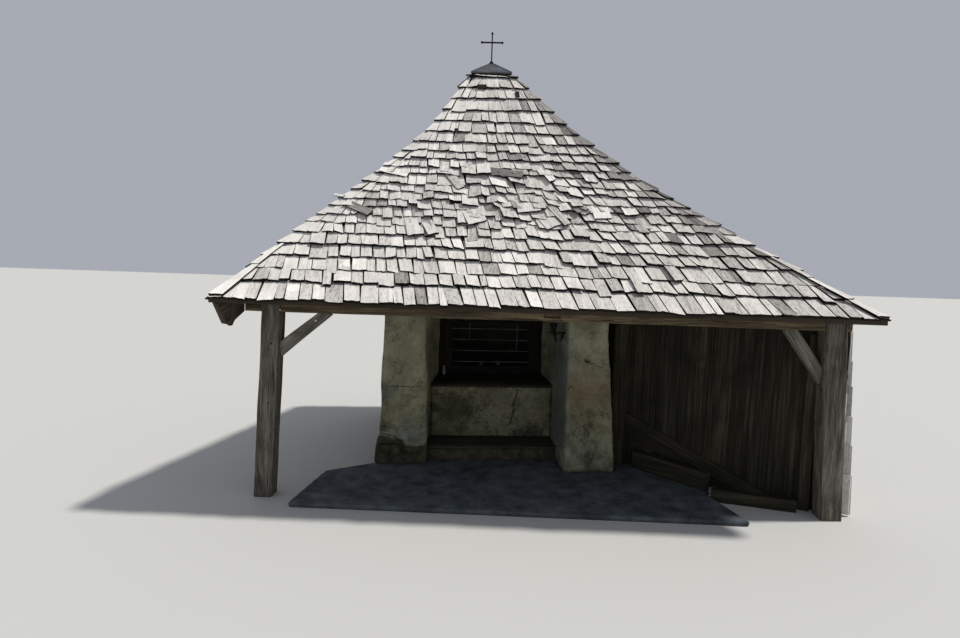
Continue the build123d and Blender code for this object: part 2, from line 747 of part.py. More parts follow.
# Wall lamp: arm, cone holder and open glass jar on the inner side of the right pier
lamp_side = Plane(chapel.from_local_coords(Vector(right_pier_inner, lamp_depth, lamp_height)),
                  x_dir=-chapel.x_dir, z_dir=(0, 0, 1))
with BuildPart() as lamp_bracket:
    with BuildSketch(lamp_side):
        Polygon((0, -lamp_bar / 2), (lamp_reach, -lamp_bar / 2),
                (lamp_reach, lamp_bar / 2), (0, lamp_bar / 2))
    extrude(amount=lamp_bar)
    with BuildSketch(lamp_side.offset(-lamp_bar)):
        Polygon((0, -lamp_bar * 2), (lamp_bar / 2, -lamp_bar * 2),
                (lamp_bar / 2, lamp_bar * 2), (0, lamp_bar * 2))
    extrude(amount=lamp_bar * 4)
    with BuildSketch(lamp_side.offset(lamp_bar)):
        with Locations((cone_place, 0)):
            Circle(cone_foot_radius)
    with BuildSketch(lamp_side.offset(lamp_bar + cone_height)):
        with Locations((cone_place, 0)):
            Circle(cone_radius)
    loft(ruled=True)
    with BuildSketch(lamp_side.offset(lamp_bar * 2)):
        with Locations((cone_place, 0)):
            Circle(cone_foot_radius)
    with BuildSketch(lamp_side.offset(lamp_bar + cone_height)):
        with Locations((cone_place, 0)):
            Circle(cone_radius - cone_wall)
    loft(ruled=True, mode=Mode.SUBTRACT)
save(lamp_bracket, "lamp_bracket")

with BuildPart(lamp_side.offset(-seat_gap)) as lamp_jar:
    with Locations((jar_place, 0)):
        Cone(jar_foot_radius, jar_radius, jar_height, align=(Align.CENTER, Align.CENTER, Align.MAX))
    with Locations((jar_place, 0, jar_wall)):
        Cone(jar_foot_radius - jar_wall, jar_radius - jar_wall, jar_height,
             align=(Align.CENTER, Align.CENTER, Align.MAX), mode=Mode.SUBTRACT)
save(lamp_jar, "lamp_jar")
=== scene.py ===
"""Looks of the small wayside chapel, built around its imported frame."""

import logging
import math
import random
from dataclasses import dataclass, field
from enum import Enum
from typing import Any, Callable, Iterable, Sequence

import bmesh
import bpy
from mathutils import Matrix, Vector, noise
from mathutils.bvhtree import BVHTree


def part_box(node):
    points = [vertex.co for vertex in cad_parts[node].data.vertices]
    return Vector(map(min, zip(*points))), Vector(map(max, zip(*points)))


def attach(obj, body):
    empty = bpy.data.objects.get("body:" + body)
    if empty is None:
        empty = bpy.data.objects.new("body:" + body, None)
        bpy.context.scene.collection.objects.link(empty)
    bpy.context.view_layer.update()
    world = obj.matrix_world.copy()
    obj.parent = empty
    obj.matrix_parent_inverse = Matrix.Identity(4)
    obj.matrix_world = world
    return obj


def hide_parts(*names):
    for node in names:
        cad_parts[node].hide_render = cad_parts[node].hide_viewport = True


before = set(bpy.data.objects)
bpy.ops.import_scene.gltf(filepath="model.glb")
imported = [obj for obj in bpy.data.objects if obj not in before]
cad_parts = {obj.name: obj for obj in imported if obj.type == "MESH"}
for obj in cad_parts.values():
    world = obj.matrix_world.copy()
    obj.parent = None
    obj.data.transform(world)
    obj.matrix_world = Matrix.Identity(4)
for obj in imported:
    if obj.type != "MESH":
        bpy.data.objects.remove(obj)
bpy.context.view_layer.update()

LOG = logging.getLogger("chapel")
BODY = "root"
Colour = tuple[float, float, float, float]
Triple = tuple[float, float, float]
Pair = tuple[float, float]
Shape = bmesh.types.BMesh
Socket = bpy.types.NodeSocket


def shade(red: float, green: float, blue: float) -> Colour:
    """Turn a colour as it looks on a screen, 0 to 255, into a linear colour.

    Args:
        red: Red, 0 to 255.
        green: Green, 0 to 255.
        blue: Blue, 0 to 255.

    Returns:
        The linear colour with full alpha.
    """
    return (*(((c / 255 + 0.055) / 1.055) ** 2.4 if c > 10 else c / 255 / 12.92
              for c in (red, green, blue)), 1.0)


class Slot(Enum):
    """The material slots."""

    RENDER = "lime_render"
    STONE = "fieldstone"
    CONCRETE = "cast_floor"
    SHINGLES = "shingles"
    TIMBER = "timber"
    DARK_WOOD = "dark_wood"
    CAP = "cap_metal"
    IRON = "iron"


class Side(Enum):
    """The four sides of the roof, numbered by their first corner."""

    FRONT = 0
    RIGHT = 1
    REAR = 2
    LEFT = 3


class Recipe:
    """The node tree of one finish, built a node at a time."""

    def __init__(self, name: str) -> None:
        """Start a material with one Principled shader.

        Args:
            name: Name of the material.
        """
        self.material = bpy.data.materials.new(name)
        self.material.use_nodes = True
        self.tree = self.material.node_tree
        self.shader = self.tree.nodes["Principled BSDF"]

    def fill(self, socket: Socket, value: Any) -> None:
        """Link what value is to a socket, or set the socket where it is plain.

        Args:
            socket: The input to fill.
            value: A socket or a plain value.
        """
        if isinstance(value, Socket):
            self.tree.links.new(value, socket)
        else:
            socket.default_value = value

    def add(self, kind: str, inputs: dict[Any, Any], **settings: Any) -> bpy.types.Node:
        """Add one node.

        Args:
            kind: Blender's name for the node's type.
            inputs: Input names or numbers, each with a value or a socket to link.
            settings: The node's own settings.

        Returns:
            The new node.
        """
        node = self.tree.nodes.new(kind)
        for key, value in settings.items():
            setattr(node, key, value)
        for key, value in inputs.items():
            self.fill(node.inputs[key], value)
        return node

    def place(self, source: str) -> Socket:
        """Return the texture coordinate socket named source."""
        return self.add("ShaderNodeTexCoord", {}).outputs[source]

    def value(self, name: str) -> Socket:
        """Return a number stored on the mesh under that name."""
        return self.add("ShaderNodeAttribute", {}, attribute_name=name).outputs["Fac"]

    def noise(self, place: Socket, scale: Any, detail: float = 6.0, rough: float = 0.6,
              warp: float = 0.0) -> Socket:
        """Return noise, 0 to 1.

        Args:
            place: The coordinates that it reads.
            scale: Waves a metre, one number or three for the axes.
            detail: How many finer layers it has.
            rough: How strong they are.
            warp: How far they bend it.

        Returns:
            The noise.
        """
        if isinstance(scale, tuple):
            place = self.add("ShaderNodeMapping", {"Vector": place, "Scale": scale}).outputs["Vector"]
            scale = 1.0
        inputs = {"Vector": place, "Scale": scale, "Detail": detail, "Roughness": rough, "Distortion": warp}
        return self.add("ShaderNodeTexNoise", inputs).outputs["Fac"]

    def ramp(self, factor: Socket, *stops: tuple[float, Colour]) -> Socket:
        """Return the colour of a ramp at factor.

        Args:
            factor: Where on the ramp to read.
            stops: Positions and colours, in rising order.

        Returns:
            The colour socket.
        """
        node = self.add("ShaderNodeValToRGB", {"Fac": factor})
        elements = node.color_ramp.elements
        for index, (position, colour) in enumerate(stops):
            stop = elements[index] if index < 2 else elements.new(position)
            stop.position, stop.color = position, colour
        return node.outputs["Color"]

    def band(self, factor: Socket, low: float, high: float) -> Socket:
        """Return factor stretched so that low becomes 0 and high becomes 1, clamped."""
        inputs = {"Value": factor, "From Min": low, "From Max": high}
        return self.add("ShaderNodeMapRange", inputs).outputs["Result"]

    def maths(self, operation: str, first: Any, second: Any) -> Socket:
        """Return the result of one maths operation."""
        return self.add("ShaderNodeMath", {0: first, 1: second}, operation=operation).outputs[0]

    def times(self, first: Any, second: Any) -> Socket:
        """Return the product of two numbers."""
        return self.maths("MULTIPLY", first, second)

    def blend(self, *parts: tuple[Socket, float]) -> Socket:
        """Return the sum of some numbers, each times its weight.

        Args:
            parts: Each number with its weight.

        Returns:
            The sum.
        """
        products = [self.times(*part) for part in parts]
        total = products[0]
        for product in products[1:]:
            total = self.maths("ADD", total, product)
        return total

    def stain(self, colour: Socket, pigment: Colour, amount: Socket, most: Any = 1.0) -> Socket:
        """Lay a pigment over a colour.

        Args:
            colour: The colour below.
            pigment: The colour of the stain.
            amount: How much of it there is, 0 to 1.
            most: How much of the colour below it hides where amount is 1.

        Returns:
            The stained colour.
        """
        return self.add("ShaderNodeMix", {0: self.times(amount, most), 6: colour, 7: pigment},
                        data_type="RGBA").outputs[2]

    def finish(self, colour: Any, roughness: Any, height: Socket | None = None, depth: float = 0.002,
               **shader: Any) -> bpy.types.Material:
        """Link the shader and return the material.

        Args:
            colour: Base colour, a socket or a plain colour.
            roughness: Roughness, a socket or a number.
            height: Height for the bump, 0 to 1.
            depth: How far height 1 stands out, in metres.
            shader: Other inputs of the shader with plain values, with _ for spaces.

        Returns:
            The finished material.
        """
        if height is not None:
            bump = self.add("ShaderNodeBump", {"Height": height, "Distance": depth, "Strength": 1.0})
            self.fill(self.shader.inputs["Normal"], bump.outputs["Normal"])
        for name, value in {"Base Color": colour, "Roughness": roughness, **shader}.items():
            self.fill(self.shader.inputs[name.replace("_", " ")], value)
        return self.material


@dataclass(frozen=True)
class WeatheredWood:
    """Wood gone grey outdoors, with grain along V of the piece's UV map.

    Attributes:
        name: Name of the material.
        pale: Colour of the ridges of the grain.
        mid: Colour between ridges and cracks.
        dark: Colour of cracks and wet streaks.
        painted_crack_shade: Painted shade deep in the cracks.
        fine: Streaks a metre across the grain.
        run: Streaks a metre along the grain.
        stain: Share of the surface that darker blotches take, 0 to 1.
        relief: Depth of the grain in metres.
    """

    name: str
    pale: Colour
    mid: Colour
    dark: Colour
    painted_crack_shade: Colour = (0.012, 0.010, 0.008, 1)
    fine: float = 90.0
    run: float = 3.0
    stain: float = 0.35
    relief: float = 0.002

    def material(self) -> bpy.types.Material:
        """Build the material.

        Returns:
            The material.
        """
        recipe = Recipe(self.name)
        grain_place = recipe.place("UV")
        streaks = recipe.noise(grain_place, (self.fine, self.run, 1), 8, 0.65)
        bands = recipe.noise(grain_place, (self.fine / 6, self.run / 3, 1), 5, 0.6, 0.4)
        cracks = recipe.noise(grain_place, (self.fine / 2, self.run / 5, 1), 3, 0.5)
        blotches = recipe.noise(recipe.place("Object"), 2.6, 6, 0.62)
        grain = recipe.blend((streaks, 0.55), (bands, 0.45))
        colour = recipe.ramp(grain, (0.36, self.dark), (0.50, self.mid), (0.62, self.pale))
        colour = recipe.stain(colour, self.dark, recipe.value("tone"), 0.55)
        colour = recipe.stain(colour, self.dark, recipe.band(blotches, 0.62 - self.stain * 0.3, 0.72), 0.6)
        # Painted shade deep in the grain's cracks.
        gap = recipe.band(cracks, 0.36, 0.31)
        colour = recipe.stain(colour, self.painted_crack_shade, gap, 0.7)
        height = recipe.maths("SUBTRACT", grain, recipe.times(gap, 0.9))
        return recipe.finish(colour, 0.88, height, self.relief, Specular_IOR_Level=0.25)


@dataclass(frozen=True)
class SilveredShingle:
    """Split shingles bleached by the sun, with single darker pieces and pale round patches.

    Attributes:
        name: Name of the material.
        bleached: Colour where tone is 0.
        silver: Colour where tone is a half.
        dull: Colour where tone is 1.
        crack: Colour of the grain's hollows.
        end: Near-black of the cut ends and sides, where tone is 2: dark end grain with painted shade.
        patches: Centre and radius of each pale patch.
    """

    name: str = "silvered_shingle"
    bleached: Colour = shade(240, 236, 230)
    silver: Colour = shade(208, 204, 198)
    dull: Colour = shade(132, 128, 125)
    crack: Colour = shade(62, 58, 55)
    end: Colour = shade(22, 20, 18)
    patches: tuple[tuple[float, ...], ...] = ((-1.494, -0.905, 2.353, 0.07), (-1.940, -1.274, 2.114, 0.07))

    def material(self) -> bpy.types.Material:
        """Build the material.

        Returns:
            The material.
        """
        recipe = Recipe(self.name)
        grain_place, place, tone = recipe.place("UV"), recipe.place("Object"), recipe.value("tone")
        flecks = recipe.noise(grain_place, (75, 13, 1), 4)
        fine = recipe.noise(grain_place, (170, 20, 1), 4, 0.65)
        broad = recipe.noise(grain_place, (26, 2.2, 1), 4, 0.55, 0.3)
        strength = recipe.maths("ADD", recipe.times(tone, 0.75), 0.22)
        colour = recipe.ramp(tone, (0.0, self.bleached), (0.5, self.silver), (1.0, self.dull))
        for figure, low, high, most in ((broad, 0.52, 0.36, 0.45), (flecks, 0.47, 0.36, 0.85),
                                        (fine, 0.46, 0.34, 0.6)):
            hollow = recipe.times(recipe.band(figure, low, high), most)
            colour = recipe.stain(colour, self.crack, hollow, strength)
        weather = recipe.band(recipe.noise(place, 2.2, 5), 0.48, 0.70)
        colour = recipe.stain(colour, self.dull, weather, 0.30)
        for *centre, radius in self.patches:
            away = recipe.add("ShaderNodeVectorMath", {0: place, 1: centre}, operation="DISTANCE")
            near = recipe.band(away.outputs["Value"], radius * 1.1, radius)
            colour = recipe.stain(colour, self.bleached, near)
        # Ends and sides: dark end grain deepened with painted shade.
        colour = recipe.stain(colour, self.end, recipe.band(tone, 1.2, 1.6))
        return recipe.finish(colour, 0.88, recipe.blend((flecks, 0.6), (fine, 0.4)), 0.004,
                             Specular_IOR_Level=0.2)


@dataclass(frozen=True)
class LimeRender:
    """Old lime render: stains, moss and painted shade where the mesh is marked, and damp near the ground.

    The marks are numbers stored on the mesh: moss, soot, bare, blue and rubble.
    """

    name: str = "old_lime_render"
    clean: Colour = shade(164, 162, 136)
    worn: Colour = shade(112, 111, 90)
    moss: Colour = shade(66, 67, 42)
    # Colour of the dark stains, and of the painted shade inside the chamber.
    soot: Colour = shade(34, 33, 28)
    bare: Colour = shade(136, 118, 92)
    # Blue-grey; on the right reveal it is painted shade, a cool sky-lit cast.
    blue: Colour = shade(92, 110, 128)
    rubble: Colour = shade(66, 64, 50)
    damp_height: float = 0.42

    def material(self) -> bpy.types.Material:
        """Build the material.

        Returns:
            The material.
        """
        recipe = Recipe(self.name)
        place = recipe.place("Object")
        broad = recipe.noise(place, 1.7, 7, 0.62)
        patches = recipe.noise(place, 7.5, 8, 0.68, 0.4)
        speckle = recipe.noise(place, 34, 6, 0.72)
        runs = recipe.noise(place, (7, 7, 1.4))
        grit = recipe.noise(place, 120, 4)
        lumps = recipe.noise(place, 14, 5, 0.55)
        crumbs = recipe.noise(place, 75, 5, 0.7)
        colour = recipe.ramp(broad, (0.36, self.worn), (0.60, self.clean))
        colour = recipe.stain(colour, self.moss, recipe.band(runs, 0.56, 0.80), 0.25)
        colour = recipe.stain(colour, self.moss, recipe.band(patches, 0.50, 0.64), 0.38)
        spots = recipe.times(recipe.band(speckle, 0.52, 0.62), recipe.band(patches, 0.42, 0.60))
        colour = recipe.stain(colour, self.soot, spots, 0.60)
        height = recipe.add("ShaderNodeSeparateXYZ", {0: place}).outputs["Z"]
        damp = recipe.times(recipe.band(height, self.damp_height, 0.05), recipe.band(patches, 0.34, 0.60))
        colour = recipe.stain(colour, self.moss, damp, 0.45)
        worn_off = recipe.band(recipe.blend((patches, 0.40), (speckle, 0.40), (crumbs, 0.20)), 0.40, 0.60)
        for mark, most in (("blue", 0.85), ("bare", 0.80), ("moss", 0.85), ("soot", 0.85), ("rubble", 1.0)):
            given = recipe.value(mark)
            solid = recipe.maths("SUBTRACT", recipe.times(given, 1.25), 0.55)
            amount = recipe.maths("ADD", recipe.times(given, worn_off), recipe.maths("MAXIMUM", solid, 0.0))
            colour = recipe.stain(colour, getattr(self, mark), recipe.band(amount, 0.02, 0.95), most)
        return recipe.finish(colour, 0.93, recipe.blend((lumps, 0.8), (grit, 0.12)), 0.012,
                             Specular_IOR_Level=0.15)


@dataclass(frozen=True)
class RoughStone:
    """Stone or concrete: mottled, with fine grit.

    Attributes:
        name: Name of the material.
        pale: The lighter colour.
        dark: The darker colour.
        scale: Mottles a metre.
        relief: Depth of the bump in metres.
    """

    name: str
    pale: Colour
    dark: Colour
    scale: float = 4.0
    relief: float = 0.004

    def material(self) -> bpy.types.Material:
        """Build the material.

        Returns:
            The material.
        """
        recipe = Recipe(self.name)
        place = recipe.place("Object")
        mottle = recipe.noise(place, self.scale, 8, 0.65, 0.3)
        grit = recipe.noise(place, 70, 5, 0.7)
        colour = recipe.ramp(mottle, (0.35, self.dark), (0.65, self.pale))
        colour = recipe.stain(colour, self.dark, recipe.band(grit, 0.5, 0.75), 0.25)
        return recipe.finish(colour, 0.9, recipe.blend((mottle, 1.0), (grit, 0.3)), self.relief,
                             Specular_IOR_Level=0.2)


@dataclass(frozen=True)
class DullMetal:
    """Sheet or wrought metal with a dull, patchy surface.

    Attributes:
        name: Name of the material.
        colour: Colour of the sound metal.
        worn: Colour of its patches.
        roughness: How rough it is, 0 to 1.
        metallic: How metallic it is, 0 to 1.
    """

    name: str
    colour: Colour
    worn: Colour
    roughness: float = 0.55
    metallic: float = 0.6

    def material(self) -> bpy.types.Material:
        """Build the material.

        Returns:
            The material.
        """
        recipe = Recipe(self.name)
        place = recipe.place("Object")
        patches = recipe.noise(place, 9)
        dents = recipe.noise(place, 30, 3, 0.5)
        colour = recipe.ramp(patches, (0.42, self.colour), (0.66, self.worn))
        rough = recipe.maths("ADD", recipe.times(recipe.band(patches, -2.0, 2.2), 0.3), self.roughness - 0.15)
        return recipe.finish(colour, rough, dents, 0.001, Metallic=self.metallic)


@dataclass(frozen=True)
class JarGlass:
    """Clear glass with a thin film of dust."""

    name: str = "dusty_glass"

    def material(self) -> bpy.types.Material:
        """Build the material."""
        recipe = Recipe(self.name)
        film = recipe.band(recipe.noise(recipe.place("Object"), 60, 4), 0.3, 0.8)
        return recipe.finish(shade(188, 196, 178), recipe.times(film, 0.12), Transmission_Weight=1.0,
                             IOR=1.25)


SHINGLE_WOOD = SilveredShingle()
POST_WOOD = WeatheredWood("grey_post_wood", shade(142, 138, 126), shade(98, 94, 84), shade(42, 39, 34),
                          fine=90, run=3.2, stain=0.30)
BRACE_WOOD = WeatheredWood("grey_brace_wood", shade(158, 155, 143), shade(116, 113, 103), shade(58, 55, 49),
                           fine=80, run=2.6, stain=0.25)
BEAM_WOOD = WeatheredWood("brown_beam_wood", shade(152, 136, 106), shade(100, 88, 68), shade(42, 36, 27),
                          fine=60, run=1.6, stain=0.35)
BOARD_WOOD = WeatheredWood("dark_board_wood", shade(84, 80, 62), shade(50, 47, 37), shade(20, 19, 15),
                           fine=46, run=1.3, stain=0.45, relief=0.0012)
REAR_WOOD = WeatheredWood("olive_post_wood", shade(92, 89, 72), shade(66, 63, 50), shade(34, 32, 25),
                          fine=60, run=1.5, stain=0.35)
NICHE_WOOD = WeatheredWood("stained_niche_wood", shade(50, 45, 36), shade(30, 27, 22), shade(14, 13, 10),
                           fine=60, run=2, stain=0.4, relief=0.001)
LIME = LimeRender()
FIELDSTONE = RoughStone("mossy_fieldstone", shade(86, 83, 66), shade(34, 34, 25), 9, 0.010)
CONCRETE = RoughStone("worn_concrete", shade(96, 103, 108), shade(56, 61, 66), 5, 0.004)
STEP_CONCRETE = RoughStone("mossy_step_concrete", shade(92, 88, 70), shade(48, 47, 34), 8, 0.005)
CAP_METAL = DullMetal("slate_grey_sheet", shade(74, 78, 84), shade(96, 100, 104))
BLACK_IRON = DullMetal("black_iron", shade(16, 16, 17), shade(34, 29, 26), 0.6, 0.7)
GREY_IRON = DullMetal("grey_iron", shade(120, 124, 126), shade(84, 84, 80), 0.5, 0.3)
# Near-white nail heads: a painted reflection of the sky on the new nails.
NAIL_PAINTED_REFLECTION = RoughStone("new_nail", shade(240, 240, 236), shade(214, 214, 208), 30, 0.0002)
WHITEWASH = RoughStone("white_glaze", shade(150, 150, 142), shade(104, 102, 94), 20, 0.0005)
# Dark strips of painted shadow in the cracks of the render.
HOLLOW = RoughStone("crack_shadow", shade(26, 25, 20), shade(12, 12, 10), 30, 0.001)
SHADOW_WOOD = WeatheredWood("rafter_wood", shade(98, 87, 72), shade(68, 59, 48), shade(32, 27, 21),
                            fine=50, run=1.5)
MADE: dict[str, bpy.types.Material] = {}
MASONRY_TURN = 7.0
# Without a seed the noise that moves edges starts from the clock.
NOISE_SEED = 3
UP = Vector((0, 0, 1))


def material_of(finish: Any) -> bpy.types.Material:
    """Return a finish's material, built on first use."""
    if finish.name not in MADE:
        MADE[finish.name] = finish.material()
    return MADE[finish.name]


def show(name: str, data: Any) -> bpy.types.Object:
    """Put a new object into the scene.

    Args:
        name: Name of the object.
        data: Its mesh, camera or light.

    Returns:
        The object.
    """
    thing = bpy.data.objects.new(name, data)
    bpy.context.scene.collection.objects.link(thing)
    return thing


def dress(node: str, finish: Any) -> None:
    """Give a carried-over frame node a finish.

    Args:
        node: The frame node.
        finish: The finish that it wears.
    """
    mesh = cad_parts[node].data
    mesh.materials.clear()
    mesh.materials.append(material_of(finish))


def piece(name: str, shape: Shape, finish: Any, replaced: Sequence[str] = (),
          smooth: bool = False) -> None:
    """Turn a bmesh into a finished piece on the chapel's body.

    Args:
        name: Name of the piece.
        shape: The bmesh, in metres in the row frame, which is freed.
        finish: The finish that it wears.
        replaced: Frame nodes that it stands for.
        smooth: True to shade it smooth.
    """
    mesh = bpy.data.meshes.new(name)
    for face in shape.faces:
        face.smooth = smooth
    shape.to_mesh(mesh)
    shape.free()
    mesh.materials.append(material_of(finish))
    thing = show(name, mesh)
    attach(thing, BODY)
    if replaced:
        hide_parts(*replaced)
    LOG.info("%s: %d faces", name, len(mesh.polygons))


def copy_of(node: str) -> Shape:
    """Return a frame node's mesh with its loose triangles joined.

    Args:
        node: The frame node.

    Returns:
        The new mesh.
    """
    shape = bmesh.new()
    shape.from_mesh(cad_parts[node].data)
    bmesh.ops.remove_doubles(shape, verts=shape.verts, dist=1e-5)
    bmesh.ops.dissolve_limit(shape, angle_limit=0.01, verts=shape.verts, edges=shape.edges)
    return shape


def lay_grain(shape: Shape, grain: Vector, seed: float = 0.0) -> None:
    """Write a UV map whose V runs along the grain, in metres.

    Args:
        shape: The mesh to map.
        grain: Direction of the grain.
        seed: Shift that makes each piece's figure its own.
    """
    layer = shape.loops.layers.uv.verify()
    grain = grain.normalized()
    for face in shape.faces:
        across = face.normal.cross(grain)
        if across.length < 0.3:
            across = grain.orthogonal()
        across.normalize()
        shift = round(face.normal.x * 2 + face.normal.y * 3 + face.normal.z * 5) * 0.37
        for loop in face.loops:
            place = loop.vert.co
            loop[layer].uv = (place.dot(across) + seed + shift, place.dot(grain) + seed * 3.1)


def set_tone(shape: Shape, faces: Iterable[bmesh.types.BMFace], tone: float) -> None:
    """Store how dark some faces are, 0 to 1, under the name tone."""
    layer = shape.faces.layers.float.get("tone") or shape.faces.layers.float.new("tone")
    for face in faces:
        face[layer] = tone


def ripple(shape: Shape, depth: float, scale: float, seed: float) -> None:
    """Move every vertex by smooth noise.

    Args:
        shape: The mesh to move.
        depth: Furthest move in metres.
        scale: Waves a metre.
        seed: Where in the noise to read.
    """
    shift = Vector((seed, seed * 1.7, seed * 0.6))
    for vert in shape.verts:
        vert.co += noise.noise_vector(vert.co * scale + shift) * depth


def clamp(value: float, low: float = 0.0, high: float = 1.0) -> float:
    """Return a value held between two others."""
    return min(high, max(low, value))


def masonry_place(size: int = 4) -> Matrix:
    """Return the masonry's own frame, turned against the porch."""
    return Matrix.Rotation(math.radians(MASONRY_TURN), size, "Z")


def saw(shape: Shape, spot: Vector, normal: Vector, cut_off: bool = False) -> None:
    """Cut a mesh along a plane.

    Args:
        shape: The mesh to cut.
        spot: A point on the plane.
        normal: The plane's normal.
        cut_off: True to take away what lies beyond it and close the cut.
    """
    bmesh.ops.bisect_plane(shape, geom=[*shape.verts, *shape.edges, *shape.faces], dist=1e-5, plane_co=spot,
                           plane_no=normal, clear_outer=cut_off)
    if cut_off:
        bmesh.ops.holes_fill(shape, edges=[e for e in shape.edges if e.is_boundary], sides=12)


def soften(shape: Shape, edges: Iterable[bmesh.types.BMEdge], width: float, segments: int = 2,
           clamped: bool = False) -> None:
    """Round edges off.

    Args:
        shape: The mesh that they belong to.
        edges: The edges.
        width: How wide the rounding is.
        segments: How many faces it has.
        clamped: True to keep roundings from running into each other.
    """
    bmesh.ops.bevel(shape, geom=list(edges), offset=width, affect="EDGES", segments=segments, profile=0.5,
                    material=-1, clamp_overlap=clamped)


def thicken(shape: Shape, way: Vector) -> None:
    """Give a flat sheet its thickness and point its faces outwards.

    Args:
        shape: The sheet.
        way: How far and which way its other side lies.
    """
    made = bmesh.ops.extrude_face_region(shape, geom=list(shape.faces), use_keep_orig=True)["geom"]
    bmesh.ops.translate(shape, verts=[v for v in made if isinstance(v, bmesh.types.BMVert)], vec=way)
    bmesh.ops.recalc_face_normals(shape, faces=shape.faces)


def rod(shape: Shape, place: Matrix, radius: float, length: float) -> None:
    """Add a round rod along Z of a place."""
    bmesh.ops.create_cone(shape, cap_ends=True, segments=10, radius1=radius, radius2=radius, depth=length,
                          matrix=place)


@dataclass
class TimberYard:
    """Turns plain frame timbers into sawn timbers with worn edges.

    Attributes:
        edge: Width of the worn edge in metres.
        step: Distance between the cuts along a timber.
        wander: How far its edges wander.
        seed: What makes each timber differ from the last.
    """

    edge: float = 0.007
    step: float = 0.12
    wander: float = 0.004
    seed: float = 0.0

    def timber(self, name: str, node: str, grain: Vector, finish: Any, slot: Slot = Slot.TIMBER,
               wander: float | None = None, shaped: Callable[[Shape], None] | None = None) -> None:
        """Replace one frame timber.

        Args:
            name: Name of the new piece.
            node: Frame node that it stands for.
            grain: Direction of the grain.
            finish: The wood's finish.
            slot: A material slot; not used.
            wander: Another value for how far the edges wander.
            shaped: What cuts or lengthens it before the edges are worn.
        """
        self.seed += 1.37
        shape = copy_of(node)
        if shaped:
            shaped(shape)
        soften(shape, [e for e in shape.edges if e.is_manifold and e.calc_face_angle(0) > 0.5], self.edge,
               clamped=True)
        grain = grain.normalized()
        reach = [v.co.dot(grain) for v in shape.verts]
        cut = min(reach) + self.step
        while cut < max(reach) - self.step / 2:
            saw(shape, grain * cut, grain)
            cut += self.step
        ripple(shape, self.wander if wander is None else wander, 3.0, self.seed)
        shape.normal_update()
        set_tone(shape, shape.faces, 0.3 + 0.3 * noise.noise(Vector((self.seed, 0, 0))))
        lay_grain(shape, grain, self.seed)
        piece(name, shape, finish, [node], smooth=True)


@dataclass(frozen=True)
class Stain:
    """A marked place on the masonry, in the masonry's own plan.

    Attributes:
        mark: Which mark it adds to: moss, soot, bare, blue or rubble.
        centre: Its middle, across, along and up.
        reach: How far it spreads each way.
        strength: The mark in the middle.
    """

    mark: str
    centre: Triple
    reach: Triple
    strength: float = 1.0


@dataclass(frozen=True)
class Crack:
    """A crack in the render, drawn on a face seen from the front.

    Attributes:
        node: The masonry node that it runs in.
        route: Its points, across and up in the masonry's own plan.
        width: Its greatest width in metres.
    """

    node: str
    route: tuple[Pair, ...]
    width: float = 0.007


STAINS = (
    Stain("moss", (0.00, 0.72, 0.55), (1.30, 0.25, 0.80), 0.62),
    Stain("moss", (-0.42, 0.72, 0.55), (0.34, 0.2, 0.26), 0.95),
    Stain("soot", (-0.24, 0.72, 0.62), (0.17, 0.2, 0.15), 0.50),
    Stain("moss", (-0.45, 0.72, 0.30), (0.50, 0.2, 0.14), 0.70),
    Stain("moss", (0.10, 0.72, 0.25), (0.40, 0.2, 0.10), 0.60),
    Stain("soot", (-0.15, 0.72, 0.845), (0.40, 0.2, 0.03), 0.55),
    Stain("soot", (0.50, 0.72, 0.27), (0.28, 0.2, 0.08), 0.75),
    Stain("soot", (0.33, 0.72, 0.40), (0.05, 0.2, 0.12), 0.45),
    Stain("soot", (-0.72, 0.72, 0.50), (0.05, 0.3, 0.40), 0.60),
    Stain("moss", (1.05, -0.15, 0.45), (0.36, 0.25, 0.42), 0.62),
    Stain("moss", (1.06, -0.15, 0.56), (0.18, 0.2, 0.18), 0.70),
    Stain("soot", (0.98, -0.15, 0.52), (0.12, 0.2, 0.10), 0.35),
    Stain("soot", (1.16, -0.15, 0.16), (0.14, 0.2, 0.12), 0.45),
    Stain("blue", (0.98, -0.16, 0.24), (0.30, 0.2, 0.22), 0.40),
    Stain("bare", (1.08, -0.13, 0.98), (0.34, 0.2, 0.24), 0.75),
    Stain("bare", (0.92, -0.13, 0.95), (0.10, 0.2, 0.30), 0.60),
    Stain("soot", (1.06, -0.13, 1.315), (0.05, 0.2, 0.025), 0.70),
    Stain("soot", (1.26, -0.13, 1.20), (0.05, 0.2, 0.30), 0.45),
    Stain("moss", (1.10, -0.16, 0.03), (0.40, 0.2, 0.07), 0.70),
    # On the right reveal the blue is painted shade, the cool cast of sky-lit shade.
    Stain("blue", (0.815, 0.20, 0.45), (0.05, 0.45, 0.50), 0.60),
    Stain("blue", (0.815, 0.15, 1.20), (0.05, 0.60, 0.80), 0.60),
    Stain("soot", (0.815, 0.55, 0.30), (0.05, 0.15, 0.25), 0.45),
    Stain("soot", (-1.05, 0.15, 0.925), (0.36, 0.2, 0.035), 0.42),
    Stain("blue", (-1.24, 0.15, 0.87), (0.14, 0.2, 0.10), 0.35),
    Stain("moss", (-0.93, 0.15, 0.62), (0.20, 0.2, 0.30), 0.35),
    Stain("soot", (-1.27, 0.15, 0.47), (0.12, 0.25, 0.10), 0.75),
    Stain("soot", (-1.25, 0.15, 0.60), (0.12, 0.25, 0.16), 0.40),
    Stain("blue", (-1.00, 0.15, 0.36), (0.24, 0.2, 0.14), 0.55),
    Stain("rubble", (-1.33, 0.15, 0.28), (0.16, 0.5, 0.085), 1.60),
    Stain("rubble", (-1.15, 0.15, 0.26), (0.10, 0.5, 0.07), 1.60),
)
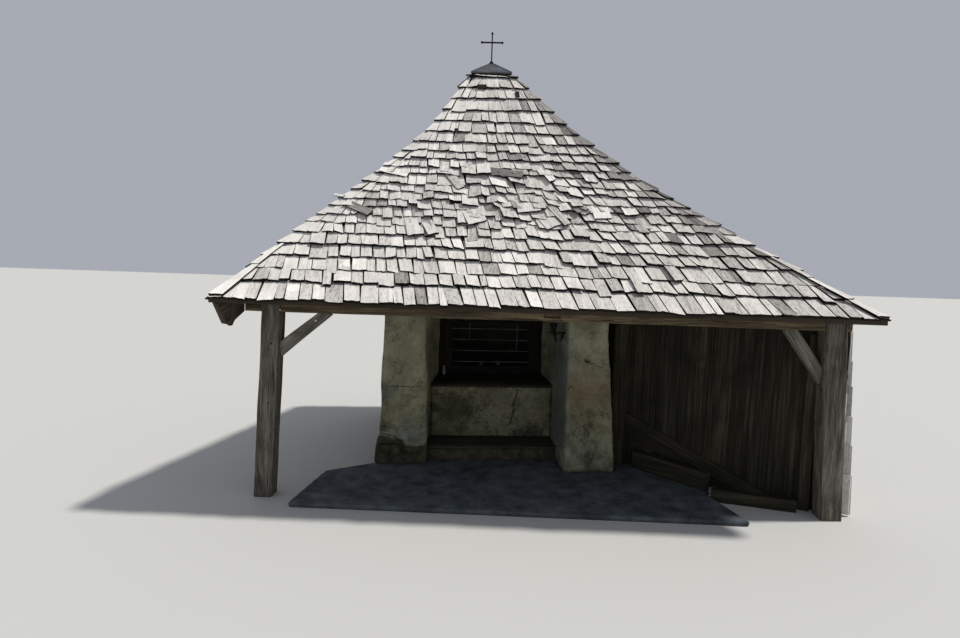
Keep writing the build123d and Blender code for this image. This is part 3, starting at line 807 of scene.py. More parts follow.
CRACKS = (
    Crack("parapet_wall", ((0.351, 0.860), (0.372, 0.835), (0.388, 0.795), (0.360, 0.72), (0.330, 0.616),
                           (0.342, 0.55), (0.328, 0.485), (0.300, 0.37), (0.277, 0.288)), 0.013),
    Crack("parapet_wall", ((0.342, 0.55), (0.30, 0.48), (0.268, 0.43)), 0.006),
    Crack("right_pier", ((1.005, 1.365), (1.02, 1.33), (1.045, 1.315), (1.06, 1.335), (1.075, 1.30)), 0.015),
    Crack("right_pier", ((1.075, 1.30), (1.10, 1.31), (1.14, 1.295)), 0.010),
    Crack("right_pier", ((0.835, 0.99), (0.85, 1.05), (0.88, 1.03), (0.90, 0.99)), 0.010),
    Crack("right_pier", ((1.12, 1.30), (1.16, 1.27), (1.215, 1.262), (1.25, 1.275)), 0.004),
    Crack("right_pier", ((0.90, 0.99), (1.00, 0.96), (1.14, 0.945), (1.24, 0.93)), 0.003),
    Crack("left_pier", ((-1.262, 0.948), (-1.12, 0.957), (-0.96, 0.950), (-0.83, 0.962)), 0.008),
    Crack("left_pier", ((-1.23, 0.905), (-1.05, 0.912), (-0.90, 0.905)), 0.003),
    Crack("left_pier", ((-1.33, 0.398), (-1.24, 0.388), (-1.15, 0.365), (-1.09, 0.32), (-1.04, 0.285)),
          0.010),
)


@dataclass
class Masonry:
    """The rendered piers and walls, given uneven faces, soft edges, stains, painted shade inside the chamber,
    and cracks.

    Attributes:
        voxel: Size of the mesh that the piers' faces are made of.
        unevenness: How far the faces stand in or out.
        chamber: Middle of the closed chamber behind the window, across and along.
        chamber_front: Where the chamber begins.
        painted_chamber_shade: Mark of the painted shade inside the chamber.
        fade: Where a stain ends, in squares of its reach.
        tongue_top: Height from which the left pier's render swells out over its footing.
        tongue_depth: How far it swells out.
        tongue_drop: How far its rounded lower edge hangs down.
        tongue_middle: Middle of that edge across, and half its width.
        stones: Place across and up, and width and height, of each stone in the footing.
        crack_step: Distance between two points of a crack.
        crack_jitter: How far they stray across and up.
        crack_proud: How far its strip stands on the face.
        crack_depth: How thick the strip is.
        dice: The seeded dice of the cracks.
    """

    voxel: float = 0.021
    unevenness: float = 0.011
    chamber: Pair = (0.05, 1.8)
    chamber_front: float = 1.20
    painted_chamber_shade: float = 2.0
    fade: float = 2.6
    tongue_top: float = 0.46
    tongue_depth: float = 0.036
    tongue_drop: float = 0.035
    tongue_middle: Pair = (-0.93, 0.19)
    stones: tuple[tuple[float, ...], ...] = (
        (-1.29, 0.10, 0.17, 0.13), (-1.27, 0.215, 0.14, 0.09), (-1.11, 0.075, 0.15, 0.10),
        (-1.12, 0.19, 0.13, 0.10), (-0.96, 0.10, 0.14, 0.13), (-0.98, 0.215, 0.12, 0.07),
        (-0.835, 0.075, 0.11, 0.11), (-0.85, 0.19, 0.12, 0.09))
    crack_step: float = 0.012
    crack_jitter: Pair = (0.0022, 0.0012)
    crack_proud: float = 0.0010
    crack_depth: float = 0.003
    dice: random.Random = field(default_factory=lambda: random.Random(12))

    def mark(self, shape: Shape) -> None:
        """Store on each vertex how much of every stain it has; the chamber's inside is painted black as
        shade.

        Args:
            shape: The masonry's surface.
        """
        layers = {name: shape.verts.layers.float.new(name)
                  for name in ("moss", "soot", "bare", "blue", "rubble")}
        back = masonry_place().inverted()
        shape.normal_update()
        for vert in shape.verts:
            spot = back @ vert.co
            outward = back.to_3x3() @ vert.normal
            wobble = 0.5 * noise.noise(spot * 9) + 0.3 * noise.noise(spot * 23)
            for stain in STAINS:
                away = sum(((a - b) / c) ** 2 for a, b, c in zip(spot, stain.centre, stain.reach))
                away *= 1 + wobble
                if away < self.fade:
                    layer = layers[stain.mark]
                    vert[layer] = max(vert[layer], stain.strength * max(0.0, 1 - away / self.fade) ** 1.2)
            # Painted shade: the walls inside the chamber are marked black.
            inward = (self.chamber[0] - spot.x) * outward.x + (self.chamber[1] - spot.y) * outward.y
            if spot.y > self.chamber_front and inward > 0.05:
                vert[layers["soot"]] = self.painted_chamber_shade

    def remeshed(self, node: str, voxel: float) -> Shape:
        """Return a frame node's form as an even mesh of that size.

        Args:
            node: The frame node.
            voxel: Size of the new mesh.

        Returns:
            The new mesh.
        """
        rough = show("rough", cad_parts[node].data.copy())
        remesh = rough.modifiers.new("remesh", "REMESH")
        remesh.mode = "VOXEL"
        remesh.voxel_size = voxel
        evaluated = rough.evaluated_get(bpy.context.evaluated_depsgraph_get())
        shape = bmesh.new()
        shape.from_mesh(evaluated.to_mesh())
        evaluated.to_mesh_clear()
        spare = rough.data
        bpy.data.objects.remove(rough)
        bpy.data.meshes.remove(spare)
        return shape

    def rendered(self, name: str, node: str, finish: Any, voxel: float, depth: float,
                 rounds: int) -> None:
        """Replace a plain masonry node by an uneven one.

        Args:
            name: Name of the new piece.
            node: The frame node.
            finish: Its finish.
            voxel: Size of its mesh.
            depth: How uneven it is.
            rounds: How often its edges are smoothed.
        """
        shape = self.remeshed(node, voxel)
        for _ in range(rounds):
            bmesh.ops.smooth_vert(shape, verts=shape.verts, factor=0.5, use_axis_x=True, use_axis_y=True,
                                  use_axis_z=True)
        shape.normal_update()
        low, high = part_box(node)
        back = masonry_place().inverted()
        ahead = masonry_place(3) @ Vector((0, -1, 0))
        middle, half = self.tongue_middle
        for vert in shape.verts:
            broad = noise.noise(vert.co * 2.3) + 0.5 * noise.noise(vert.co * 6.5 + Vector((5, 2, 1)))
            hold = min(1.0, max(0.0, (vert.co.z - low.z - 0.01) * 12), (high.z - vert.co.z) * 12 + 0.15)
            vert.co += vert.normal * depth * broad * hold
            spot = back @ vert.co
            if node == "left_pier" and spot.y < 0.22 and spot.z < self.tongue_top:
                sink = (self.tongue_top - spot.z) / (self.tongue_top - low.z)
                vert.co += ahead * self.tongue_depth * sink * sink * (3 - 2 * sink)
                if spot.x > middle - half and spot.z < low.z + 0.02:
                    vert.co.z -= self.tongue_drop * max(0.0, 1 - ((spot.x - middle) / half) ** 2)
        if finish is LIME:
            self.mark(shape)
        tree = BVHTree.FromBMesh(shape)
        for number, crack in enumerate(c for c in CRACKS if c.node == node):
            self.crack(f"{node}_crack_{number}", crack, tree)
        piece(name, shape, finish, [node], smooth=True)

    def crack(self, name: str, crack: Crack, tree: BVHTree) -> None:
        """Lay a crack as a thin dark strip of painted shadow on an uneven face.

        Args:
            name: Name of the piece.
            crack: The crack.
            tree: What finds the face.
        """
        ahead = masonry_place(3) @ Vector((0, 1, 0))
        points: list[Vector] = []
        for start, end in zip(crack.route, crack.route[1:]):
            steps = max(2, int(math.dist(start, end) / self.crack_step))
            for step in range(steps):
                across, height = (a + (b - a) * step / steps + self.dice.gauss(0, jitter)
                                  for a, b, jitter in zip(start, end, self.crack_jitter))
                points.append(Vector((across, -1.0, height)))
        strip = bmesh.new()
        rows: list[list[bmesh.types.BMVert]] = []
        for index, point in enumerate(points):
            way = (points[min(index + 1, len(points) - 1)] - points[max(index - 1, 0)]).normalized()
            side = Vector((way.z, 0, -way.x))
            ends = min(index, len(points) - 1 - index) / len(points)
            half = crack.width / 2 * min(1.0, 0.25 + ends * 5) * self.dice.uniform(0.55, 1.15)
            hits = [tree.ray_cast(masonry_place() @ (point + side * half * sign), ahead)[0]
                    for sign in (-1, 1)]
            if None not in hits:
                rows.append([strip.verts.new(hit - ahead * self.crack_proud) for hit in hits])
        for first, second in zip(rows, rows[1:]):
            strip.faces.new((first[0], first[1], second[1], second[0]))
        thicken(strip, ahead * self.crack_depth)
        piece(name, strip, HOLLOW)

    def footing_stones(self) -> None:
        """Set rough stones into the left pier's footing, half sunk in its mortar."""
        shape = bmesh.new()
        for across, height, wide, tall in self.stones:
            size, spot = Vector((wide, 0.045, tall)), Vector((across, 0.122, height))
            for vert in bmesh.ops.create_icosphere(shape, subdivisions=2, radius=0.5)["verts"]:
                blunt = Vector(math.copysign(abs(c) ** 0.6, c) for c in vert.co.normalized()) * 0.5
                local = blunt * size
                local += noise.noise_vector(local * 16 + spot * 7) * 0.014
                vert.co = masonry_place() @ (spot + local)
        bmesh.ops.recalc_face_normals(shape, faces=shape.faces)
        piece("footing_stones", shape, FIELDSTONE, smooth=True)

    def build(self) -> None:
        """Build the piers, walls and the footing."""
        for node in ("left_pier", "right_pier"):
            self.rendered(f"rendered_{node}", node, LIME, self.voxel, self.unevenness * 1.2, 4)
        self.rendered("rendered_parapet_wall", "parapet_wall", LIME, 0.024, self.unevenness, 2)
        for node in ("left_side_wall", "right_side_wall", "rear_wall", "window_lintel"):
            self.rendered(f"rendered_{node}", node, LIME, 0.030, self.unevenness, 2)
        self.rendered("rough_kneeler_step", "kneeler_step", STEP_CONCRETE, self.voxel, 0.006, 1)
        self.rendered("rough_footing", "left_pier_footing", FIELDSTONE, self.voxel, 0.02, 3)
        self.footing_stones()
        self.rendered("cast_porch_floor", "porch_floor", CONCRETE, 0.02, 0.006, 1)


def shingle_blank() -> bpy.types.Mesh:
    """Return a unit block, cut in four across and in two along, from which each shingle is shaped.

    Returns:
        The block.
    """
    shape = bmesh.new()
    bmesh.ops.create_cube(shape, size=1.0)
    for axis, cuts in ((0, 3), (1, 1)):
        edges = [e for e in shape.edges if abs(e.verts[0].co[axis] - e.verts[1].co[axis]) > 0.9]
        bmesh.ops.subdivide_edges(shape, edges=edges, cuts=cuts, use_grid_fill=True)
    mesh = bpy.data.meshes.new("shingle_blank")
    shape.to_mesh(mesh)
    shape.free()
    return mesh


@dataclass(frozen=True)
class Stray:
    """A single shingle on the front slope that has slipped or turned.

    Attributes:
        across: Its middle along X.
        height: Height of its middle.
        length: Its length.
        width: Its width.
        turn: How far it leans from the fall line, in degrees, positive to the right at its foot.
        tone: How dark it is; 2.0 gives the near-black of painted shadow.
        lift: How far its foot stands off the roof.
        tuck: How high its upper end lies; below 0 it is pushed under the course above.
    """

    across: float
    height: float
    length: float
    width: float
    turn: float
    tone: float
    lift: float = 0.052
    tuck: float = 0.016


# Strays of tone 2.0 are all near-black: painted shadow of dark holes among the shingles.
STRAYS = (
    Stray(0.030, 3.402, 0.40, 0.105, 79, 1.0, 0.060, 0.045),
    Stray(-1.551, 2.937, 0.34, 0.095, 60, 0.85, 0.065, 0.040), Stray(-0.552, 3.332, 0.40, 0.095, 30, 0.50),
    Stray(-0.322, 2.955, 0.42, 0.205, 22, 0.15, 0.055), Stray(-0.426, 2.930, 0.34, 0.097, 7, 0.20),
    Stray(-0.507, 3.053, 0.066, 0.115, 6, 2.0, 0.030, 0.030),
    Stray(0.602, 2.945, 0.42, 0.080, 31, 0.55, 0.066, 0.030),
    Stray(0.481, 2.905, 0.36, 0.181, 28, 0.35, 0.056),
    Stray(0.276, 3.060, 0.32, 0.250, 11, 0.25, 0.062), Stray(1.066, 3.020, 0.34, 0.183, 8, 0.0, 0.058),
    Stray(0.803, 2.991, 0.14, 0.054, 38, 0.90, 0.060, 0.035),
    Stray(0.874, 3.010, 0.13, 0.049, 50, 0.80, 0.070, 0.035),
    Stray(0.919, 2.992, 0.13, 0.043, 27, 0.95, 0.060, 0.035), Stray(0.484, 3.443, 0.36, 0.085, 26, 0.0),
    Stray(-0.295, 4.612, 0.080, 0.120, 2, 2.0, 0.032, 0.032),
    Stray(0.154, 4.503, 0.118, 0.050, 4, 2.0, 0.032, 0.032),
    Stray(-0.543, 3.966, 0.054, 0.090, 4, 2.0, 0.032, 0.032),
    Stray(-1.214, 3.425, 0.20, 0.330, -13, 0.0, 0.045, 0.010),
    Stray(-1.788, 3.074, 0.12, 0.035, 75, 0.05, 0.050, 0.045),
    Stray(1.326, 2.272, 0.38, 0.091, 8, 0.45, 0.048),
    Stray(-0.941, 2.780, 0.36, 0.136, 15, 0.25), Stray(1.700, 2.395, 0.36, 0.098, 16, 0.50, 0.050),
    Stray(-0.757, 2.765, 0.30, 0.116, 25, 0.30),
)
HEIGHT_KEYS = (2.02, 2.50, 3.00, 3.70, 4.12, 4.87)
SHARE_KEYS = (0.12, 0.42, 0.75)
LEANS = ((-0.25, -0.18, -0.09), (-0.18, -0.18, -0.38), (-0.16, -0.20, -0.46), (0.03, -0.17, -0.36),
         (0.25, -0.10, -0.24), (0.28, 0.00, -0.28))
# Tone of the cut ends and sides: dark end grain deepened with painted shade.
END_GRAIN_AND_SHADE = 2.0


def unrest(measure: Pair, trouble: float) -> float:
    """Return a measure of a calm roof with what trouble adds to it."""
    return measure[0] + measure[1] * trouble


def between(keys: Sequence[float], values: Sequence[float], place: float) -> float:
    """Return the value at a place on a line through known points, run on beyond its ends.

    Args:
        keys: The places of the points.
        values: Their values.
        place: Where to read.

    Returns:
        The value.
    """
    index = max(i for i in range(len(keys) - 1) if place >= keys[i] or i == 0)
    share = (place - keys[index]) / (keys[index + 1] - keys[index])
    return values[index] + (values[index + 1] - values[index]) * share


@dataclass
class ShingleRoof:
    """The shingles of the four slopes.

    Attributes:
        heights: Heights of the roof's levels.
        fronts: Where the front slope is at each level, along Y.
        left: X of the left hip's end at each level.
        right: X of the right hip's end at each level.
        rear_left: Plan place of the rear left corner at the eave.
        rear_right: Plan place of the rear right corner at the eave.
        peak: Plan place of the peak.
        crown_share: How far from the peak the rear corners end.
        butts: Height of the butts of each course on the front slope.
        length: Length of a shingle.
        butt: Thickness of a shingle's lower end.
        head: How deep the upper ends lie under the slope's surface.
        narrow: Least width of a shingle.
        wide: Greatest width.
        overhang: How far the front and rear courses stand over the hips.
        flush_height: Height below which they end short of the hips.
        set_back: How far short of them they end.
        sliver: Width below which what is left of a course joins the last shingle.
        hip_reach: How near a hip a shingle's upper end follows it.
        point_width: Least width of an upper end.
        droop: How far a butt may hang below the lowest level.
        usual: Usual width of a shingle.
        gaps: Least, greatest and usual gap between two shingles.
        turned: Spread of their turns in degrees, where the roof is calm, and what trouble adds.
        crooked: Share of them that is turned further, in the same way.
        slips: Spread of how far they slip.
        slipped: Share that has slipped further.
        lifts: Spread of how far they stand off.
        lifted: Share that stands off further.
        tilts: Spread of how far they lean sideways.
        dice: The seeded dice of the shingles.
        blank: The block that each shingle is shaped from.
    """

    heights: tuple[float, ...] = (2.02, 2.30, 2.80, 3.35, 3.95, 4.50, 4.865)
    fronts: tuple[float, ...] = (-1.430, -0.964, -0.4087, 0.0336, 0.5160, 0.9582, 1.2516)
    left: tuple[float, ...] = (-2.700, -2.500, -2.030, -1.430, -0.890, -0.605, -0.430)
    right: tuple[float, ...] = (3.540, 3.170, 2.420, 1.555, 0.865, 0.375, 0.060)
    rear_left: Pair = (-1.9385, 2.9054)
    rear_right: Pair = (1.3567, 3.3100)
    peak: Pair = (-0.190, 1.4491)
    crown_share: float = 0.12
    butts: tuple[float, ...] = (2.004, 2.172, 2.282, 2.418, 2.540, 2.667, 2.777, 2.866, 2.968, 3.048, 3.154,
                                3.250, 3.372, 3.460, 3.565, 3.669, 3.794, 3.940, 4.097, 4.264, 4.443, 4.608,
                                4.778)
    length: float = 0.42
    butt: float = 0.025
    head: float = -0.030
    narrow: float = 0.065
    wide: float = 0.205
    overhang: float = 0.035
    flush_height: float = 2.30
    set_back: float = 0.030
    sliver: float = 0.05
    hip_reach: float = 0.12
    point_width: float = 0.004
    droop: float = 0.030
    usual: float = 0.12
    gaps: Triple = (0.003, 0.020, 0.009)
    turned: Pair = (1.2, 3.5)
    crooked: Pair = (0.05, 0.12)
    slips: Pair = (0.0045, 0.016)
    slipped: Pair = (0.05, 0.15)
    lifts: Pair = (0.003, 0.009)
    lifted: Pair = (0.08, 0.15)
    tilts: Pair = (0.003, 0.004)
    dice: random.Random = field(default_factory=lambda: random.Random(41))
    blank: bpy.types.Mesh = field(default_factory=shingle_blank)

    def corners(self, height: float) -> list[Vector]:
        """Return the roof's four corners at a height, anticlockwise from the front left.

        Args:
            height: Height of the corners.

        Returns:
            The four corners.
        """
        rise = (height - self.heights[0]) / (self.heights[-1] - self.heights[0])
        reach = (1 - rise) * (1 - self.crown_share) + self.crown_share
        peak = Vector(self.peak)
        front = between(self.heights, self.fronts, height)
        ahead = [Vector((between(self.heights, ends, height), front, height))
                 for ends in (self.left, self.right)]
        behind = [Vector((*(peak + (Vector(corner) - peak) * reach), height))
                  for corner in (self.rear_right, self.rear_left)]
        return ahead + behind

    def line(self, side: Side, height: float) -> tuple[Vector, Vector, float, float]:
        """Return where a side's level line lies.

        Args:
            side: Side of the roof.
            height: Height of the line.

        Returns:
            The foot of the peak on the line, the line's direction, and how far it reaches each way.
        """
        corners = self.corners(height)
        start, end = corners[side.value], corners[(side.value + 1) % 4]
        direction = (end - start).normalized()
        foot = (Vector((*self.peak, height)) - start).dot(direction)
        return start + direction * foot, direction, -foot, (end - start).length - foot

    def normal(self, side: Side, height: float) -> Vector:
        """Return the outward direction of a slope at a height.

        Args:
            side: Side of the roof.
            height: Height on it.

        Returns:
            The direction.
        """
        step = 0.01 if height < self.heights[-1] - 0.01 else -0.01
        foot, direction, _, _ = self.line(side, height)
        other, _, _, _ = self.line(side, height + step)
        found = direction.cross(other - foot).normalized()
        return found if found.z > 0 else -found

    def point(self, side: Side, across: float, height: float) -> Vector:
        """Return a point on a slope."""
        foot, direction, _, _ = self.line(side, height)
        return foot + direction * across

    def climb(self, height: float, distance: float) -> float:
        """Return the height reached by going that distance up the front slope.

        Args:
            height: Height to start from.
            distance: How far to go.

        Returns:
            The height reached.
        """
        levels = list(zip(self.heights, self.fronts))
        for (low, near), (top, far) in zip(levels, levels[1:]):
            last = top == self.heights[-1]
            if height >= top and not last:
                continue
            rate = math.hypot(top - low, far - near) / (top - low)
            if height + distance / rate <= top or last:
                return height + distance / rate
            distance -= (top - height) * rate
            height = top
        return height

    def shingle(self, shape: Shape, side: Side, corners: Sequence[Pair],
                lifts: Triple, butt: float, tone: float) -> None:
        """Add one wedge-shaped shingle.

        Args:
            shape: The mesh that it joins.
            side: Side of the roof.
            corners: Lower left, lower right, upper left and upper right corner, each across and height.
            lifts: Lift of the lower left corner, the lower right corner and the upper edge.
            butt: Thickness of its lower end.
            tone: How dark it is, 0 to 1.
        """
        uv = shape.loops.layers.uv.verify()
        shade_layer = shape.faces.layers.float["tone"]
        old_verts, old_faces = len(shape.verts), len(shape.faces)
        shape.from_mesh(self.blank)
        shape.verts.ensure_lookup_table()
        shape.faces.ensure_lookup_table()
        verts, faces = shape.verts[old_verts:], shape.faces[old_faces:]
        low_left, low_right, high_left, high_right = (self.point(side, *corner) for corner in corners)
        out = self.normal(side, (corners[0][1] + corners[2][1]) / 2)
        along = ((high_left + high_right) - (low_left + low_right)).normalized()
        wide = along.cross(out).normalized()
        ragged = [self.dice.uniform(-0.005, 0.005) for _ in range(5)]
        wave = [self.dice.uniform(-0.12, 0.12) for _ in range(5)]
        cup = self.dice.uniform(-0.003, 0.005)
        middle = self.dice.uniform(-0.002, 0.003)
        seed = self.dice.uniform(0, 40)
        for vert in verts:
            x, y, top = vert.co.x + 0.5, vert.co.y + 0.5, vert.co.z > 0
            column = min(4, int(x * 4 + 0.5))
            spot = (low_left * (1 - x) + low_right * x) * (1 - y) + (high_left * (1 - x) + high_right * x) * y
            bed = (lifts[0] * (1 - x) + lifts[1] * x) * (1 - y) + lifts[2] * y
            bed += cup * (2 * x - 1) ** 2 * (1 - y) + middle * 4 * y * (1 - y)
            thick = butt * (1 - 0.6 * y) * (1 + wave[column])
            vert.co = spot + out * (bed + (thick if top else 0)) - along * (ragged[column] * (1 - y))
        for face, template in zip(faces, self.blank.polygons):
            # Ends and sides take the near-black tone: dark end grain with painted shade.
            face[shade_layer] = END_GRAIN_AND_SHADE if template.normal.z < 0.5 else tone
            for loop in face.loops:
                offset = loop.vert.co - low_left
                loop[uv].uv = (offset.dot(wide) + offset.dot(out) + seed, offset.dot(along) + seed * 2.3)

    def disorder(self, side: Side, across: float, height: float) -> float:
        """Return how disturbed the courses are at a place, 0 to 1."""
        if side is not Side.FRONT:
            return 0.1
        return math.exp(-((across - 0.35) / 1.15) ** 2 - ((height - 3.02) / 0.42) ** 2)

    def lean(self, side: Side, height: float, share: float) -> float:
        """Return how far a shingle leans to the right for each metre that it runs up the slope.

        Args:
            side: Side of the roof.
            height: Height of its butt.
            share: Where it lies between the slope's left and right hip, 0 to 1.

        Returns:
            The lean.
        """
        if side is not Side.FRONT:
            return 0.0
        share = clamp(share, SHARE_KEYS[0], SHARE_KEYS[-1])
        rows = [between(SHARE_KEYS, row, share) for row in LEANS]
        return between(HEIGHT_KEYS, rows, clamp(height, HEIGHT_KEYS[0], HEIGHT_KEYS[-1]))

    def beds(self) -> list[Pair]:
        """Return how high each course's butts and upper ends lie so that it rests on the course below.

        Returns:
            The two lifts of each course, the lowest first.
        """
        found: list[Pair] = []
        bed = 0.014
        for low, high in zip(self.butts, (*self.butts[1:], self.heights[-1])):
            exposure = self.climb(low, 1.0) - low
            share = min(0.9, (high - low) / exposure / self.length)
            head = self.head * min(1.0, 1.6 * (1 - share))
            found.append((bed, head))
            rest = bed * (1 - share) + head * share + self.butt * (1 - 0.6 * share)
            bed = clamp(rest, 0.004, 0.026)
        return found

    def course(self, shape: Shape, side: Side, base: float, top: float, beds: Pair, butt: float,
               starter: bool = False) -> None:
        """Lay one course.

        Args:
            shape: The mesh that it joins.
            side: Side of the roof.
            base: Height of its butts.
            top: Height of its upper ends.
            beds: How high its butts and its upper ends lie.
            butt: Thickness of its butts.
            starter: True for the course under the first one, all near-black as painted shadow below its
                butts.
        """
        bed, head = beds
        front = side is Side.FRONT
        _, _, start, stop = self.line(side, base)
        _, _, head_start, head_stop = self.line(side, top)
        over = self.overhang if side in (Side.FRONT, Side.REAR) else -0.004
        over = -self.set_back if base < self.flush_height else over
        across = start - over
        phase = self.dice.uniform(0, 50)
        while across < stop + over - 0.015:
            width = self.dice.triangular(self.narrow, self.wide, self.usual)
            if stop + over - across - width < self.sliver:
                width = stop + over - across
            gap = self.dice.triangular(*self.gaps)
            left, right = across, across + width - gap
            across += width
            centre, half = (left + right) / 2, (right - left) / 2
            share = (centre - start) / (stop - start)
            edge = abs(2 * share - 1)
            trouble = self.disorder(side, centre, base)
            turn = math.radians(self.dice.gauss(0.0, unrest(self.turned, trouble)))
            if self.dice.random() < unrest(self.crooked, trouble):
                turn += math.radians(self.dice.uniform(-9, 9))
            lean = self.lean(side, base, share) - math.tan(turn)
            head_centre = centre + lean * self.length * (1 - edge ** 8)
            if not front:
                fan = head_start + (head_stop - head_start) * share
                head_centre += (fan - centre) * (0.06 + 0.55 * edge ** 5)
            head_left = max(head_centre - half, head_start - over * 0.2)
            head_right = min(head_centre + half, head_stop + over * 0.2)
            if centre - start < self.hip_reach and not starter:
                head_left = head_start
            if stop - centre < self.hip_reach and not starter:
                head_right = head_stop
            if head_right - head_left < self.point_width:
                head_left = clamp(head_centre, head_start, head_stop - self.point_width)
                head_right = head_left + self.point_width
            wavy = 0.012 * noise.noise(Vector((centre * 1.3, phase, 0)))
            slip = wavy + self.dice.gauss(0, unrest(self.slips, trouble))
            if self.dice.random() < unrest(self.slipped, trouble):
                slip -= self.dice.uniform(0.01, 0.05)
            lift = bed + abs(self.dice.gauss(0, unrest(self.lifts, trouble)))
            if self.dice.random() < unrest(self.lifted, trouble):
                lift += self.dice.uniform(0.004, 0.018)
            tilt = self.dice.gauss(0, unrest(self.tilts, trouble))
            skew = (math.tan(turn) - lean * 0.12) * half * 0.8 + self.dice.gauss(0, 0.002)
            low = max(base + slip, self.heights[0] - self.droop)
            if starter:
                low, skew, tilt, lift = base, 0.0, 0.0, bed
            tone = self.dice.gauss(0.32, 0.15) + 0.13 * (2 * share - 1) * front
            if self.dice.random() < 0.12:
                tone += self.dice.uniform(0.15, 0.45)
            if front and centre - start < 0.28 and share < 0.15:
                tone = self.dice.uniform(0.05, 0.25)
            if front and share > 0.90 and base > 2.6:
                tone += 0.25
            corners = ((left, low + skew), (right, low - skew), (head_left, top), (head_right, top))
            # A starter shingle is all near-black: painted shadow below the first course's butts.
            self.shingle(shape, side, corners, (lift + tilt, lift - tilt, head),
                         butt * self.dice.uniform(0.8, 1.25), END_GRAIN_AND_SHADE if starter else clamp(tone))

    def hip_boards(self, shape: Shape) -> None:
        """Lay the long shingles along the feet of the two front hips.

        Args:
            shape: The mesh that they join.
        """
        for sign, low, high, wide, tone in ((1, 2.010, 2.27, 0.135, 0.25), (1, 2.155, 2.43, 0.115, 0.10),
                                            (1, 2.345, 2.62, 0.09, 0.20), (-1, 2.010, 2.36, 0.165, 0.0),
                                            (-1, 2.30, 2.56, 0.11, 0.03)):
            corners = []
            for height, share in ((low, 1.0), (high, 0.5)):
                _, _, start, stop = self.line(Side.FRONT, height)
                hip = stop if sign > 0 else start
                edges = sorted((hip - sign * self.set_back, hip - sign * wide * share))
                corners += [(edges[0], height), (edges[1], height)]
            self.shingle(shape, Side.FRONT, corners, (0.036, 0.036, 0.022), 0.024, tone)

    def stray(self, shape: Shape, one: Stray) -> None:
        """Lay one slipped shingle on the front slope.

        Args:
            shape: The mesh that it joins.
            one: The shingle.
        """
        rate = self.climb(one.height, 1.0) - one.height
        turn = math.radians(one.turn)
        corners = []
        for up, side in ((-1, -1), (-1, 1), (1, -1), (1, 1)):
            right = side * one.width / 2 * math.cos(turn) - up * one.length / 2 * math.sin(turn)
            rise = up * one.length / 2 * math.cos(turn) + side * one.width / 2 * math.sin(turn)
            corners.append((one.across + right - self.peak[0], one.height + rise * rate))
        self.shingle(shape, Side.FRONT, corners, (one.lift, one.lift * 0.85, one.tuck), 0.020, one.tone)

    def slope(self, side: Side) -> None:
        """Shingle one slope.

        Args:
            side: Side of the roof.
        """
        shape = bmesh.new()
        shape.loops.layers.uv.verify()
        shape.faces.layers.float.new("tone")
        last = self.heights[-1] - 0.002
        eave = self.heights[0]
        # The starter course is painted shadow under the first course.
        self.course(shape, side, eave + 0.012, self.climb(eave, 0.3), (-0.010, self.head), 0.014, True)
        for base, beds in zip(self.butts, self.beds()):
            self.course(shape, side, base, min(self.climb(base, self.length), last), beds, self.butt)
        if side is Side.FRONT:
            self.hip_boards(shape)
            for one in STRAYS:
                self.stray(shape, one)
        shape.normal_update()
        bmesh.ops.recalc_face_normals(shape, faces=shape.faces)
        piece(f"{side.name.lower()}_shingles", shape, SHINGLE_WOOD)

    def build(self) -> None:
        """Shingle all four slopes and dress what carries them."""
        for side in Side:
            self.slope(side)
            dress(f"{side.name.lower()}_roof", SHADOW_WOOD)
            dress(f"{side.name.lower()}_rafters", SHADOW_WOOD)
        dress("hip_rafters", SHADOW_WOOD)
        dress("peak_block", SHADOW_WOOD)


